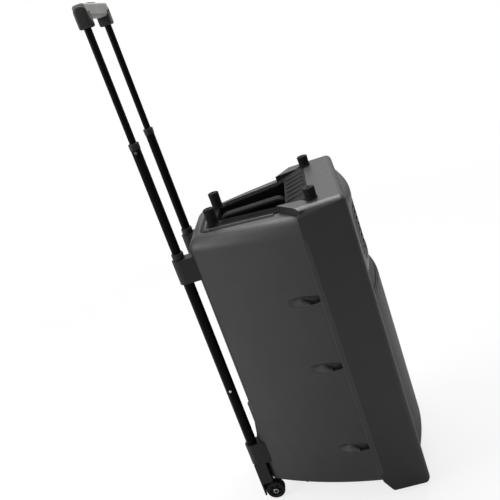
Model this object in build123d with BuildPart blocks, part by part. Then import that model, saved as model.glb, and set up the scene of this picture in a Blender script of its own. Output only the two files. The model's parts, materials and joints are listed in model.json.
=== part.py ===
"""Party speaker on a telescoping trolley: a two-way 15-inch cabinet with its amplifier and battery.

Frame: millimetres, +X out of the front grille, +Y to the speaker's left, +Z up.
The origin is under the middle of the whole object, on the floor that its wheels and feet stand on.
"""

import os
from math import cos, radians, sin

from build123d import *

os.makedirs("parts", exist_ok=True)

# ---------------------------------------------------------------- driving sizes

# whole object, measured from the trolley's tube axis
front_reach = 434.0  # tube axis to the crown of the woofer grille
rear_reach = 18.0  # tube axis to the back of the brackets
tube_x = (rear_reach - front_reach) / 2

# clearances
fit = 0.05  # radial clearance of a running or located fit
air = 0.3  # gap between pieces that must not touch
screw_air = 0.25  # radial clearance of a screw in its through hole

# trolley tubes
tube_pitch = 190.0  # between the two tube axes
outer_tube_d = 26.0
outer_tube_wall = 1.5
outer_tube_bottom = 113.0
outer_tube_top = 713.0
middle_tube_d = 22.0
middle_tube_wall = 1.5
middle_out_height = 270.0  # middle tube above the outer tube, handle out
middle_overlap = 80.0
inner_tube_d = 16.0
inner_out_height = 256.0
inner_overlap = 70.0
inner_tube_wall = 1.2
collar_height = 12.0
collar_lip = 3.0  # what a collar adds above its tube
collar_wall = 1.2  # what a collar adds outside its tube
rivet_d = 7.0
rivet_head = 1.6  # how far a rivet or lock button stands out of its tube
outer_rivet_z = 336.0
lock_drop = 18.0  # lock button below the top of the middle tube

# grip
grip_height = 50.0
grip_depth = 29.0
grip_end_width = 34.0
crossbar_height = 30.0
crossbar_depth = 27.0
grip_socket = 24.0  # tube depth in the grip end
grip_saddle = 28.0  # height of the grip end under the crossbar
grip_end_wall = 8.0
grip_step = 9.0  # grip end below the crossbar's top
grip_round = 6.0
release_length = 70.0
release_width = 14.0
release_height = 10.0
release_travel = 2.5
release_proud = 3.0
release_round = 1.5

# rear shell
wall = 4.0
shell_gap = 19.0  # tube surface to the shell's back
rear_half = 102.0  # half width of the back
crease_half = 215.0  # half width where the shell meets the bezel
side_bulge = 13.0  # how far the side bows out from its chord
shell_bottom = 50.0
shell_top = 745.0
shoulder_radius = 36.0
back_radius = 24.0
bottom_radius = 10.0
flare_depth = 14.0  # how far the foot of the back stands out towards the tubes
flare_low = 175.0
flare_high = 250.0

# front bezel
bezel_bottom = 4.0
bezel_top = 762.0
bezel_depth = 110.0  # crease to the bezel's front rim
rim_half = 205.0
step_run_top = 36.0
step_run_bottom = 25.0
bezel_corner = 28.0
bezel_low_corner = 24.0
ear_run = 39.0  # how far the bezel's ears reach back over the shell's flat top
ear_lead = 17.0  # crease to the ear's apex, beside the tray
ear_toe = 8.0  # crease to the outer end of the ear's step
rim_radius = 14.0
rim_width = 12.0
recess_depth = 28.0  # bezel's rim to the baffle's front face
baffle_thick = 8.0

# side scoops and the screws that hold the two shells together
scoop_heights = [157.0, 383.0, 556.0]
scoop_radius = 12.0
scoop_inset = 11.0  # scoop axis inside the crease's half width
scoop_length = 120.0
scoop_end_wall = 4.0
screw_d = 5.0
screw_head_d = 10.0
screw_head_height = 4.0
screw_length = 24.0
screw_boss = 8.0
screw_bite = 8.0  # how far a bracket screw goes into the shell

# woofer
woofer_z = 286.0
woofer_d = 380.0  # basket rim
woofer_cut_d = 352.0  # hole in the baffle
basket_rim_thick = 5.0
basket_depth = 118.0
basket_wall = 3.0
basket_back_d = 150.0
basket_window_d = 44.0
basket_windows = 8
surround_out_d = 348.0
surround_roll = 16.0  # radial width of the surround's roll
surround_height = 5.0
cone_air = 0.5
cone_depth = 72.0
cone_thick = 2.0
cone_throat_d = 66.0
coil_gap_depth = 34.0  # how deep the magnet's ring gap is
coil_wall = 1.2
dust_cap_d = 110.0
dust_cap_rise = 22.0
dust_cap_thick = 1.5
spider_thick = 2.0
magnet_d = 150.0
magnet_depth = 42.0
magnet_gap = 1.2  # air gap each side of the voice coil
cone_travel = 4.0

# woofer grille, a shallow dome
grille_low = 62.0
grille_high = 526.0
grille_thick = 1.5
grille_rise = 28.0  # the dome's crown in front of the bezel's rim
grille_skirt = 16.0  # straight skirt in front of the baffle, on the grille and the horn
grille_edge_radius = 30.0
grille_corner = 16.0

# horn
horn_low = 538.0
horn_high = 744.0
horn_rise = 19.0  # the horn face's crown in front of the bezel's rim
horn_face_thick = 4.0
mouth_width = 290.0
mouth_height = 150.0
mouth_corner = 30.0
throat_d = 36.0
horn_depth = 100.0
horn_wall = 3.0
waist_depth = 55.0  # from the throat to the funnel's middle section
waist_width = 116.0
waist_height = 75.0
waist_corner = 24.0
throat_flange_d = 84.0
throat_flange_thick = 6.0
driver_d = 88.0
driver_depth = 50.0
driver_bore_d = 28.0
driver_round = 4.0

# reflex ports
port_d = 64.0
port_wall = 2.5
port_length = 110.0
port_y = 150.0
port_z = 104.0
port_flange = 5.0

# top tray, its carry handle and the posts
tray_rear_reach = 84.0  # tube axis to the tray's rear edge
tray_rear_half = 85.0
tray_front_half = 151.0  # at the front end of its apron
apron_land = 12.0  # level front end of the apron that climbs the bezel's step
tray_thick = 3.0
tray_corner = 8.0
tray_floor = 50.0  # pocket depth below the shell's top
pocket_rear_inset = 22.0
pocket_front_inset = 20.0  # pocket to the crease
pocket_side_inset = 38.0
pocket_wall = 2.5
handle_width = 34.0
handle_thick = 15.0
handle_round = 5.0
handle_drop = 2.0  # top of the bar below the tray's rim
post_d = 28.0
post_top = 788.0
post_round = 4.0
rear_post_reach = 101.0
rear_post_y = 70.0
front_post_inset = 70.0  # post axis behind the bezel's rim
front_post_y = 155.0

# feet and base studs
foot_length = 46.0
foot_width = 30.0
foot_inset = 40.0  # foot's middle behind the bezel's rim
foot_y = 158.0
foot_round = 4.0
stud_d = 14.0
stud_height = 7.0
stud_reach = 110.0
stud_y = 132.0

# brackets, axle and wheels
upper_bracket_height = 60.0
lower_bracket_high = 172.0
bracket_wall = 4.0
bracket_plate = 5.0
wheel_reach = 18.0  # tube axis to the axle
wheel_d = 48.0
wheel_width = 22.0
wheel_y = 103.0
tyre_depth = 5.0
tyre_round = 2.5
hub_rim = 2.5  # hub left standing around its dish
axle_d = 8.0
axle_head_d = 13.0
axle_head = 3.0
washer_gap = 0.4
fender_wall = 4.0
fender_air = 3.0

# amplifier panel and what it carries
panel_width = 144.0
panel_height = 330.0
panel_z = 425.0
panel_thick = 2.0
panel_lip = 8.0  # overlap of the panel behind the shell's opening
knob_d = 18.0
knob_height = 13.0
knob_small_d = 14.0
knob_skirt = 1.5
shaft_d = 6.0
shaft_height = 9.0
pot_body = 16.0
pot_depth = 9.0
pot_bush_d = 9.0
knob_bevel = 0.75
knob_mark = 1.5  # width of the pointer groove in a knob's face
knob_gap = 0.5
knob_pitch = 38.0
rocker_width = 13.0
rocker_height = 20.0
rocker_depth = 10.0
rocker_proud = 3.0
rocker_tilt = 8.0  # either way from the middle
rocker_air = 0.8
rocker_pin_d = 3.0
rocker_pin_proud = 0.2  # how far the rocker's pivot pin stands out of each side
button_d = 9.0
button_length = 7.0
button_proud = 2.6
button_round = 0.6
media_width = 92.0
media_height = 42.0
media_thick = 3.0
inlet_width = 30.0
inlet_height = 24.0
inlet_depth = 22.0
inlet_pocket_width = 24.0
inlet_pocket_height = 16.5
inlet_pocket_depth = 17.0
inlet_flange = 4.0
inlet_flange_thick = 2.0
blade_pitch = 7.0
blade_wide = 4.0
blade_thick = 2.0
blade_length = 14.0
jack_d = 22.0
jack_bore_d = 6.5
jack_depth = 24.0
jack_bore_depth = 18.0
jack_flange_d = 28.0
jack_flange = 2.0
board_thick = 1.6
board_width = 128.0
board_height = 150.0
fin_count = 9
fin_pitch = 13.0
fin_thick = 2.0
fin_depth = 26.0
sink_base = 4.0
sink_height = 80.0
supply_height = 68.0
supply_width = 110.0
supply_depth = 76.0
supply_inset = 34.0  # supply's middle behind the crease
battery_width = 150.0
battery_depth = 65.0
battery_height = 95.0
battery_reach = 92.0
strap_thick = 2.0
strap_width = 26.0
strap_ear = 18.0
terminal_size = 6.0
terminal_height = 6.0
terminal_window = 9.0  # opening in the strap around a terminal
battery_round = 4.0
supply_round = 2.0
terminal_pitch = 100.0
terminal_offset = 16.0  # from the battery's middle towards the front

# where things stand on the panel, from its middle
media_rise = 118.0
button_pitch = 24.0
button_drop = 9.0
small_rise = 66.0
tone_rise = 30.0
jack_pitch = 40.0
jack_drop = 20.0
inlet_drop = 132.0
inlet_side = 26.0
rocker_side = 34.0
board_rise = 75.0
sink_drop = 78.0
sink_side = 0.0

# pole socket in the base
pole_bore_d = 36.5
pole_socket_wall = 3.0
pole_depth = 80.0
pole_reach = 186.0
pole_flange_d = 70.0
pole_flange = 4.0

# ---------------------------------------------------------------- derived places

outer_r = outer_tube_d / 2
middle_r = middle_tube_d / 2
inner_r = inner_tube_d / 2
tube_ys = [-tube_pitch / 2, tube_pitch / 2]
tube_spots = [(tube_x, y) for y in tube_ys]
middle_top = outer_tube_top + middle_out_height
inner_top = middle_top + inner_out_height
grip_low = inner_top
grip_high = grip_low + grip_height
shell_back = tube_x + outer_r + shell_gap
rim_x = tube_x + front_reach - grille_rise
crease_x = rim_x - bezel_depth
baffle_front = rim_x - recess_depth
baffle_back = baffle_front - baffle_thick
inside_back = shell_back + wall
full_height = bezel_top + wall
lobe_r = rear_reach
upper_bracket_high = outer_tube_top - collar_height - air
upper_bracket_low = upper_bracket_high - upper_bracket_height
foot_back = shell_back - flare_depth
upper_screw_z = (upper_bracket_low + upper_bracket_high) / 2
lower_screw_z = (outer_tube_bottom + lower_bracket_high) / 2
bracket_screw_y = tube_pitch / 2 - lobe_r - screw_head_d
bracket_screw_rows = [
    (shell_back, [(y * bracket_screw_y, upper_screw_z) for y in (-1, 0, 1)]),
    (foot_back, [(y * bracket_screw_y, lower_screw_z) for y in (-1, 0, 1)]),
]
big = 2000.0  # longer than any piece, for cutting through


# ---------------------------------------------------------------- shared shapes


def bar(plane, radius, length, spots, both=False):
    """A round bar of one radius at each spot, standing off a plane along its normal."""
    with BuildPart() as piece:
        with BuildSketch(plane):
            with Locations(*spots):
                Circle(radius)
        extrude(amount=length, both=both)
    return piece.part


def block(plane, width, height, length, spots, corner=0.0):
    """A rectangular bar with rounded corners at each spot, standing off a plane."""
    with BuildPart() as piece:
        with BuildSketch(plane):
            with Locations(*spots):
                if corner > 0:
                    RectangleRounded(width, height, corner)
                else:
                    Rectangle(width, height)
        extrude(amount=length)
    return piece.part


def plan_slab(inset, low, high):
    """The rear shell's tapering plan, brought in by inset, from one height to another."""
    back = shell_back - flare_depth + inset
    back_half = rear_half - inset
    front_half = crease_half - inset
    mid_x = (back + crease_x) / 2
    mid_half = (back_half + front_half) / 2 + side_bulge
    with BuildPart() as piece:
        with BuildSketch(Plane.XY.offset(low)):
            with BuildLine():
                Polyline((crease_x, -front_half), (crease_x, front_half))
                ThreePointArc((crease_x, front_half), (mid_x, mid_half), (back, back_half))
                Polyline((back, back_half), (back, -back_half))
                ThreePointArc((back, -back_half), (mid_x, -mid_half), (crease_x, -front_half))
            make_face()
        extrude(amount=high - low)
    return piece.part


def side_slab(inset):
    """The rear shell's side view, brought in by inset, as wide as the whole cabinet."""
    back = shell_back + inset
    foot = back - flare_depth
    with BuildPart() as piece:
        with BuildSketch(Plane.XZ):
            with BuildLine():
                Polyline(
                    (crease_x, shell_bottom + inset),
                    (foot, shell_bottom + inset),
                    (foot, flare_low),
                    (back, flare_high),
                    (back, shell_top - inset),
                    (crease_x, shell_top - inset),
                    close=True,
                )
            make_face()
        extrude(amount=crease_half + side_bulge, both=True)
    return piece.part


def shell_form(inset):
    """The rear shell's outside, or its cavity when inset by the wall."""
    slab = plan_slab(inset, shell_bottom + inset, shell_top - inset)
    view = side_slab(inset)
    with BuildPart() as piece:
        add(slab)
        add(view, mode=Mode.INTERSECT)
        back_edges = piece.edges().filter_by(Axis.Z).group_by(Axis.X)
        fillet([e for g in back_edges[:-1] for e in g], back_radius - inset)
        top = piece.faces().sort_by(Axis.Z)[-1]
        rim = [e for e in top.edges() if e.center().X < crease_x - air]
        fillet(rim, shoulder_radius - inset)
        floor = piece.faces().sort_by(Axis.Z)[0]
        rim = [e for e in floor.edges() if e.center().X < crease_x - air]
        fillet(rim, bottom_radius - inset)
    return piece.part


def bezel_form(inset, front):
    """The bezel's outside up to a front plane, or its cavity when inset by the wall."""
    back_half = crease_half - inset
    front_half = rim_half - inset
    low = bezel_bottom + inset
    high = bezel_top - inset
    with BuildPart() as piece:
        with BuildSketch(Plane.YZ.offset(crease_x)) as section:
            with Locations((0, (low + high) / 2)):
                Rectangle(2 * back_half, high - low)
            fillet(section.vertices().group_by(Axis.Y)[-1], bezel_corner - inset)
            fillet(section.vertices().group_by(Axis.Y)[0], bezel_low_corner - inset)
        extrude(amount=front - crease_x)
        with BuildSketch(Plane.XY.offset(low)):
            with BuildLine():
                Polyline(
                    (crease_x, -back_half),
                    (rim_x, -front_half),
                    (rim_x, front_half),
                    (crease_x, back_half),
                    close=True,
                )
            make_face()
        extrude(amount=high - low, mode=Mode.INTERSECT)
        with BuildSketch(Plane.XZ):
            with BuildLine():
                Polyline(
                    (crease_x, shell_bottom + inset),
                    (crease_x + step_run_bottom, low),
                    (rim_x, low),
                    (rim_x, high),
                    (crease_x + step_run_top, high),
                    (crease_x, shell_top - inset),
                    close=True,
                )
            make_face()
        extrude(amount=crease_half, both=True, mode=Mode.INTERSECT)
    return piece.part


def dome(half, low, high, seat, crown, edge_round, corner):
    """A pillow that bows forward from its seat plane to a crown on the middle line."""
    with BuildPart() as piece:
        with BuildSketch(Plane.XY.offset(low)):
            with BuildLine():
                ThreePointArc((seat, -half), (crown, 0), (seat, half))
                Line((seat, half), (seat, -half))
            make_face()
        extrude(amount=high - low)
        ends = piece.faces().filter_by(Axis.Z)
        arcs = [e for f in ends for e in f.edges() if e.geom_type == GeomType.CIRCLE]
        fillet(arcs, min(edge_round, crown - seat - fit))
        frame = block(Plane.YZ.offset(seat), 2 * half, high - low, crown - seat,
                      [(0, (low + high) / 2)], corner)
        add(frame, mode=Mode.INTERSECT)
    return piece.part


def finish(part, name):
    """Name a finished piece and write it out."""
    part.label = name
    export_step(part, f"parts/{name}.step")


# ---------------------------------------------------------------- rear shell

scoop_y = crease_half - scoop_inset
scoop_spots = [(s * scoop_y, z) for s in (-1, 1) for z in scoop_heights]
scoop_end = crease_x - scoop_end_wall
panel_opening_w = panel_width - 2 * panel_lip
panel_opening_h = panel_height - 2 * panel_lip
tray_rear = tube_x + tray_rear_reach
tray_front = crease_x + step_run_top
tray_span = tray_front - tray_rear
pocket_rear = tray_rear + pocket_rear_inset
pocket_front = crease_x - pocket_front_inset
apron_start = crease_x - ear_run


def tray_half_at(x):
    """The tray's half width at a place along its length."""
    share = (x - tray_rear) / tray_span
    return tray_rear_half + share * (tray_front_half - tray_rear_half)


def pocket_slab(grow, low, high):
    """The tray's pocket in plan, grown outwards, from one height to another."""
    rear_w = tray_half_at(pocket_rear) - pocket_side_inset + grow
    front_w = tray_half_at(pocket_front) - pocket_side_inset + grow
    with BuildPart() as piece:
        with BuildSketch(Plane.XY.offset(low)):
            with BuildLine():
                Polyline(
                    (pocket_rear - grow, -rear_w),
                    (pocket_front + grow, -front_w),
                    (pocket_front + grow, front_w),
                    (pocket_rear - grow, rear_w),
                    close=True,
                )
            make_face()
        extrude(amount=high - low)
        fillet(piece.edges().filter_by(Axis.Z), pocket_wall + grow)
    return piece.part


shell_outside = shell_form(0.0)
shell_cavity = shell_form(wall)
scoop_pads = bar(Plane.YZ.offset(scoop_end - scoop_length), scoop_radius + wall,
                 scoop_length + scoop_end_wall, scoop_spots)
scoop_cuts = bar(Plane.YZ.offset(scoop_end - scoop_length), scoop_radius, scoop_length, scoop_spots)
scoop_holes = bar(Plane.YZ.offset(scoop_end), screw_d / 2 + screw_air, scoop_end_wall, scoop_spots)
panel_cut = block(Plane.YZ.offset(shell_back - wall), panel_opening_w, panel_opening_h,
                  3 * wall, [(0, panel_z)], panel_lip)
bracket_holes = [bar(Plane.YZ.offset(x), screw_d / 2 + fit, screw_bite, spots)
                 for x, spots in bracket_screw_rows]
pole_x = tube_x + pole_reach
pole_window = pole_bore_d + 2 * (pole_socket_wall + fit)
pole_hole = block(Plane.XY.offset(shell_bottom - wall), pole_window, pole_window, 3 * wall, [(pole_x, 0)])

with BuildPart() as rear_shell:
    add(shell_outside)
    add(shell_cavity, mode=Mode.SUBTRACT)
    add(scoop_pads & shell_outside)
    add(scoop_cuts, mode=Mode.SUBTRACT)
    add(scoop_holes, mode=Mode.SUBTRACT)
    add(panel_cut, mode=Mode.SUBTRACT)
    add(pocket_slab(pocket_wall + fit, shell_top - tray_floor, full_height), mode=Mode.SUBTRACT)
    add(pole_hole, mode=Mode.SUBTRACT)
    for holes in bracket_holes:
        add(holes, mode=Mode.SUBTRACT)
finish(rear_shell.part, "rear_shell")

# ---------------------------------------------------------------- front bezel

bezel_outside = bezel_form(0.0, rim_x)
back_cavity = bezel_form(wall, baffle_back)
front_recess_half = rim_half - rim_width
front_low = bezel_bottom + rim_width
front_high = bezel_top - rim_width
front_recess = block(Plane.YZ.offset(baffle_front), 2 * front_recess_half, front_high - front_low,
                     rim_x - baffle_front + wall, [(0, (front_low + front_high) / 2)],
                     bezel_corner - rim_width)
woofer_hole = bar(Plane.YZ.offset(baffle_back - wall), woofer_cut_d / 2,
                  baffle_thick + 2 * wall, [(0, woofer_z)])
horn_z = (horn_low + horn_high) / 2
horn_hole = block(Plane.YZ.offset(baffle_back - wall), mouth_width, mouth_height,
                  baffle_thick + 2 * wall, [(0, horn_z)], mouth_corner)
port_spots = [(s * port_y, port_z) for s in (-1, 1)]
port_holes = bar(Plane.YZ.offset(baffle_back - wall), port_d / 2 + fit, baffle_thick + 2 * wall, port_spots)
bezel_bosses = bar(Plane.YZ.offset(crease_x), screw_boss, screw_length, scoop_spots)
boss_holes = bar(Plane.YZ.offset(crease_x - wall), screw_d / 2 + fit, screw_length + wall, scoop_spots)

ear_apex_x = crease_x + ear_lead


def ear_side(x):
    """The inner edge of an ear, clear of the tray's edge."""
    return tray_half_at(x) + air


with BuildPart() as ear:
    with BuildSketch(Plane.XY.offset(shell_top)):
        with BuildLine():
            Polyline(
                (apron_start, ear_side(apron_start)),
                (crease_x + ear_toe, rim_half),
                (tray_front, rim_half),
                (tray_front, ear_side(tray_front)),
                close=True,
            )
        make_face()
    extrude(amount=bezel_top - shell_top)
    step_start = Vector(apron_start, ear_side(apron_start), shell_top)
    step_end = Vector(crease_x + ear_toe, rim_half, shell_top)
    apex = Vector(ear_apex_x, ear_side(ear_apex_x), bezel_top)
    slope = (step_end - step_start).cross(apex - step_start)
    facet = Plane(origin=apex, x_dir=step_end - step_start, z_dir=slope)
    split(bisect_by=facet, keep=Keep.BOTTOM)
    with BuildSketch(Plane.YZ.offset(apron_start)):
        with Locations((0, (bezel_bottom + bezel_top) / 2)):
            RectangleRounded(2 * crease_half, bezel_top - bezel_bottom, bezel_corner)
    extrude(amount=tray_front - apron_start, mode=Mode.INTERSECT)
ear_pair = ear.part + ear.part.mirror(Plane.XZ)

with BuildPart() as front_bezel:
    add(bezel_outside)
    front_face = front_bezel.faces().sort_by(Axis.X)[-1]
    fillet(front_face.edges(), rim_radius)
    add(ear_pair)
    add(back_cavity, mode=Mode.SUBTRACT)
    add(front_recess, mode=Mode.SUBTRACT)
    add(bezel_bosses & bezel_outside)
    add(woofer_hole, mode=Mode.SUBTRACT)
    add(horn_hole, mode=Mode.SUBTRACT)
    add(port_holes, mode=Mode.SUBTRACT)
    add(boss_holes, mode=Mode.SUBTRACT)
finish(front_bezel.part, "front_bezel")

screw_head_x = scoop_end - screw_head_height
with BuildPart() as shell_screws:
    add(bar(Plane.YZ.offset(screw_head_x), screw_head_d / 2, screw_head_height, scoop_spots))
    add(bar(Plane.YZ.offset(scoop_end), screw_d / 2, screw_length, scoop_spots))
finish(shell_screws.part, "shell_screws")

# ---------------------------------------------------------------- woofer

basket_back = baffle_front - basket_depth
magnet_front = basket_back - basket_wall


def cup(front_x, front_r, back_x, back_r, thick):
    """A conical cup about the woofer's axis, open at both ends, of one wall thickness."""
    with BuildPart() as piece:
        with BuildSketch(Plane.XZ) as section:
            with BuildLine():
                Polyline(
                    (back_x, woofer_z + back_r),
                    (front_x, woofer_z + front_r),
                    (front_x, woofer_z + front_r - thick),
                    (back_x, woofer_z + back_r - thick),
                    close=True,
                )
            make_face()
        revolve(axis=woofer_axis)
    return piece.part


woofer_axis = Axis((0, 0, woofer_z), (1, 0, 0))
woofer_spot = [(0, woofer_z)]
basket_cone_r = woofer_cut_d / 2 - air
window_planes = [
    Plane(origin=(basket_back + basket_depth / 2, 0, woofer_z),
          z_dir=(0, cos(radians(a)), sin(radians(a))))
    for a in [(i + 0.5) * 360 / basket_windows for i in range(basket_windows)]
]
windows = [bar(p, basket_window_d / 2, basket_cone_r, [(0, 0)]) for p in window_planes]

with BuildPart() as woofer_basket:
    add(bar(Plane.YZ.offset(baffle_front), woofer_d / 2, basket_rim_thick, woofer_spot))
    add(bar(Plane.YZ.offset(baffle_front), surround_out_d / 2 - basket_wall, basket_rim_thick, woofer_spot),
        mode=Mode.SUBTRACT)
    add(cup(baffle_front, basket_cone_r, basket_back, basket_back_d / 2, 2 * basket_wall))
    add(bar(Plane.YZ.offset(basket_back - basket_wall), basket_back_d / 2, basket_wall, woofer_spot))
    add(bar(Plane.YZ.offset(basket_back - basket_wall), cone_throat_d / 2 + cone_air, basket_wall,
            woofer_spot), mode=Mode.SUBTRACT)
    for window in windows:
        add(window, mode=Mode.SUBTRACT)
finish(woofer_basket.part, "woofer_basket")

coil_r = cone_throat_d / 2
magnet_back = magnet_front - magnet_depth
with BuildPart() as woofer_magnet:
    add(bar(Plane.YZ.offset(magnet_back), magnet_d / 2, magnet_depth, woofer_spot))
    add(bar(Plane.YZ.offset(magnet_front - coil_gap_depth), coil_r + magnet_gap, coil_gap_depth, woofer_spot),
        mode=Mode.SUBTRACT)
    add(bar(Plane.YZ.offset(magnet_back), coil_r - coil_wall - magnet_gap, magnet_depth, woofer_spot))
finish(woofer_magnet.part, "woofer_magnet")

surround_seat = baffle_front + basket_rim_thick
surround_in_r = surround_out_d / 2 - surround_roll
with BuildPart() as woofer_surround:
    with BuildSketch(Plane.XZ):
        with BuildLine():
            outer_z = woofer_z + surround_out_d / 2 + basket_wall
            lip_z = woofer_z + surround_out_d / 2 - basket_wall
            inner_z = woofer_z + surround_in_r
            crown_z = (lip_z + inner_z) / 2
            top_x = surround_seat + air
            sheet = cone_thick
            Polyline((top_x, lip_z), (top_x, outer_z), (top_x + sheet, outer_z), (top_x + sheet, lip_z))
            ThreePointArc((top_x + sheet, lip_z), (top_x + sheet + surround_height, crown_z),
                          (top_x + sheet, inner_z))
            Line((top_x + sheet, inner_z), (top_x, inner_z))
            ThreePointArc((top_x, inner_z), (top_x + surround_height, crown_z), (top_x, lip_z))
        make_face()
    revolve(axis=woofer_axis)
finish(woofer_surround.part, "woofer_surround")

cone_front = surround_seat
cone_mouth_r = surround_in_r - cone_air
cone_back = cone_front - cone_depth
coil_front = cone_back + cone_thick
with BuildPart() as woofer_cone:
    add(cup(cone_front, cone_mouth_r, cone_back, coil_r, cone_thick))
    add(bar(Plane.YZ.offset(coil_front - cone_thick), coil_r, cone_thick, woofer_spot))
    add(bar(Plane.YZ.offset(coil_front - cone_thick), coil_r - coil_wall, cone_thick, woofer_spot),
        mode=Mode.SUBTRACT)
finish(woofer_cone.part, "woofer_cone")

coil_back = magnet_front - coil_gap_depth + cone_travel + 2 * air
with BuildPart() as voice_coil:
    add(bar(Plane.YZ.offset(coil_back), coil_r, cone_back - coil_back, woofer_spot))
    add(bar(Plane.YZ.offset(coil_back), coil_r - coil_wall, cone_back - coil_back, woofer_spot),
        mode=Mode.SUBTRACT)
finish(voice_coil.part, "voice_coil")

spider_x = basket_back + air
spider_r = basket_back_d / 2 - 2 * basket_wall - air
with BuildPart() as woofer_spider:
    add(bar(Plane.YZ.offset(spider_x), spider_r, spider_thick, woofer_spot))
    add(bar(Plane.YZ.offset(spider_x), coil_r + cone_air, spider_thick, woofer_spot), mode=Mode.SUBTRACT)
finish(woofer_spider.part, "woofer_spider")


def cap(base_x, base_r, rise, thick):
    """A shallow spherical cap on the woofer's axis, open behind."""
    crown = base_x + rise
    with BuildPart() as piece:
        with BuildSketch(Plane.XZ):
            with BuildLine():
                chord = base_r * base_r
                ball_r = (chord + rise * rise) / (2 * rise)
                inner_ball = ball_r - thick
                centre_x = crown - ball_r
                inner_z = (inner_ball**2 - (base_x - centre_x) ** 2) ** 0.5
                RadiusArc((base_x, woofer_z + base_r), (crown, woofer_z), ball_r)
                Line((crown, woofer_z), (crown - thick, woofer_z))
                RadiusArc((crown - thick, woofer_z), (base_x, woofer_z + inner_z), -inner_ball)
                Line((base_x, woofer_z + inner_z), (base_x, woofer_z + base_r))
            make_face()
        revolve(axis=woofer_axis)
    return piece.part


cone_slope = (cone_mouth_r - coil_r) / cone_depth
cap_seat_x = cone_back + (dust_cap_d / 2 - coil_r + cone_thick) / cone_slope
dust_cap_piece = cap(cap_seat_x + air, dust_cap_d / 2, dust_cap_rise, dust_cap_thick)
with BuildPart() as dust_cap:
    add(dust_cap_piece)
finish(dust_cap.part, "dust_cap")

# ---------------------------------------------------------------- grille, horn and ports

grille_half = front_recess_half - air
horn_half = grille_half
grille_seat = baffle_front + grille_skirt
grille_crown = tube_x + front_reach
grille_outside = dome(grille_half, grille_low, grille_high, grille_seat, grille_crown,
                      grille_edge_radius, grille_corner)
grille_inside = dome(grille_half - grille_thick, grille_low + grille_thick, grille_high - grille_thick,
                     grille_seat, grille_crown - grille_thick,
                     grille_edge_radius - grille_thick, grille_corner - grille_thick)
grille_foot = block(Plane.YZ.offset(baffle_front), 2 * grille_half, grille_high - grille_low,
                    grille_seat - baffle_front, [(0, (grille_low + grille_high) / 2)], grille_corner)
grille_foot_hollow = block(Plane.YZ.offset(baffle_front), 2 * (grille_half - grille_thick),
                           grille_high - grille_low - 2 * grille_thick,
                           grille_seat - baffle_front, [(0, (grille_low + grille_high) / 2)],
                           grille_corner - grille_thick)
with BuildPart() as woofer_grille:
    add(grille_outside)
    add(grille_foot)
    add(grille_inside, mode=Mode.SUBTRACT)
    add(grille_foot_hollow, mode=Mode.SUBTRACT)
finish(woofer_grille.part, "woofer_grille")

horn_crown = rim_x + horn_rise
horn_outside = dome(horn_half, horn_low, horn_high, grille_seat, horn_crown,
                    grille_edge_radius, grille_corner)
horn_inside = dome(horn_half - horn_face_thick, horn_low + horn_face_thick, horn_high - horn_face_thick,
                   grille_seat, horn_crown - horn_face_thick,
                   grille_edge_radius - horn_face_thick, grille_corner - horn_face_thick)
horn_foot = block(Plane.YZ.offset(baffle_front), 2 * horn_half, horn_high - horn_low,
                  grille_seat - baffle_front, [(0, horn_z)], grille_corner)
horn_foot_hollow = block(Plane.YZ.offset(baffle_front), 2 * (horn_half - horn_face_thick),
                         horn_high - horn_low - 2 * horn_face_thick,
                         grille_seat - baffle_front, [(0, horn_z)], grille_corner - horn_face_thick)
throat_x = baffle_front - horn_depth


def funnel(grow):
    """The flare from the round throat out to the rounded mouth, grown outwards by a wall."""
    with BuildPart() as piece:
        with BuildSketch(Plane.YZ.offset(throat_x)):
            with Locations((0, horn_z)):
                Circle(throat_d / 2 + grow)
        with BuildSketch(Plane.YZ.offset(throat_x + waist_depth)):
            with Locations((0, horn_z)):
                RectangleRounded(waist_width + 2 * grow, waist_height + 2 * grow, waist_corner + grow)
        with BuildSketch(Plane.YZ.offset(horn_crown + wall)):
            with Locations((0, horn_z)):
                RectangleRounded(mouth_width - 2 * wall + 2 * grow, mouth_height - 2 * wall + 2 * grow,
                                 mouth_corner + grow)
        loft()
    return piece.part


horn_flare_out = funnel(horn_wall)
horn_flare_in = funnel(0.0)
horn_room = horn_outside + block(Plane.YZ.offset(throat_x), mouth_width + mouth_corner,
                                 mouth_height + mouth_corner, grille_seat - throat_x, [(0, horn_z)])
with BuildPart() as horn_flare:
    add(horn_outside)
    add(horn_foot)
    add(horn_inside, mode=Mode.SUBTRACT)
    add(horn_foot_hollow, mode=Mode.SUBTRACT)
    add(horn_flare_out & horn_room)
    add(bar(Plane.YZ.offset(throat_x), throat_flange_d / 2, throat_flange_thick, [(0, horn_z)]))
    add(horn_flare_in, mode=Mode.SUBTRACT)
finish(horn_flare.part, "horn_flare")

driver_front = throat_x
with BuildPart() as compression_driver:
    add(bar(Plane.YZ.offset(driver_front - throat_flange_thick), throat_flange_d / 2, throat_flange_thick,
            [(0, horn_z)]))
    add(bar(Plane.YZ.offset(driver_front - throat_flange_thick - driver_depth), driver_d / 2, driver_depth,
            [(0, horn_z)]))
    add(bar(Plane.YZ.offset(driver_front - throat_flange_thick), driver_bore_d / 2, throat_flange_thick,
            [(0, horn_z)]), mode=Mode.SUBTRACT)
    edge = compression_driver.faces().sort_by(Axis.X)[0].edges()
    fillet(edge, driver_round)
finish(compression_driver.part, "compression_driver")

port_back = baffle_front - port_length
with BuildPart() as reflex_ports:
    add(bar(Plane.YZ.offset(port_back), port_d / 2, port_length, port_spots))
    add(bar(Plane.YZ.offset(baffle_front), port_d / 2 + port_flange, port_wall, port_spots))
    add(bar(Plane.YZ.offset(port_back), port_d / 2 - port_wall, port_length + port_wall, port_spots),
        mode=Mode.SUBTRACT)
finish(reflex_ports.part, "reflex_ports")

# ---------------------------------------------------------------- top tray, carry handle and posts

tray_top = shell_top + tray_thick
pocket_bottom = shell_top - tray_floor


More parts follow.
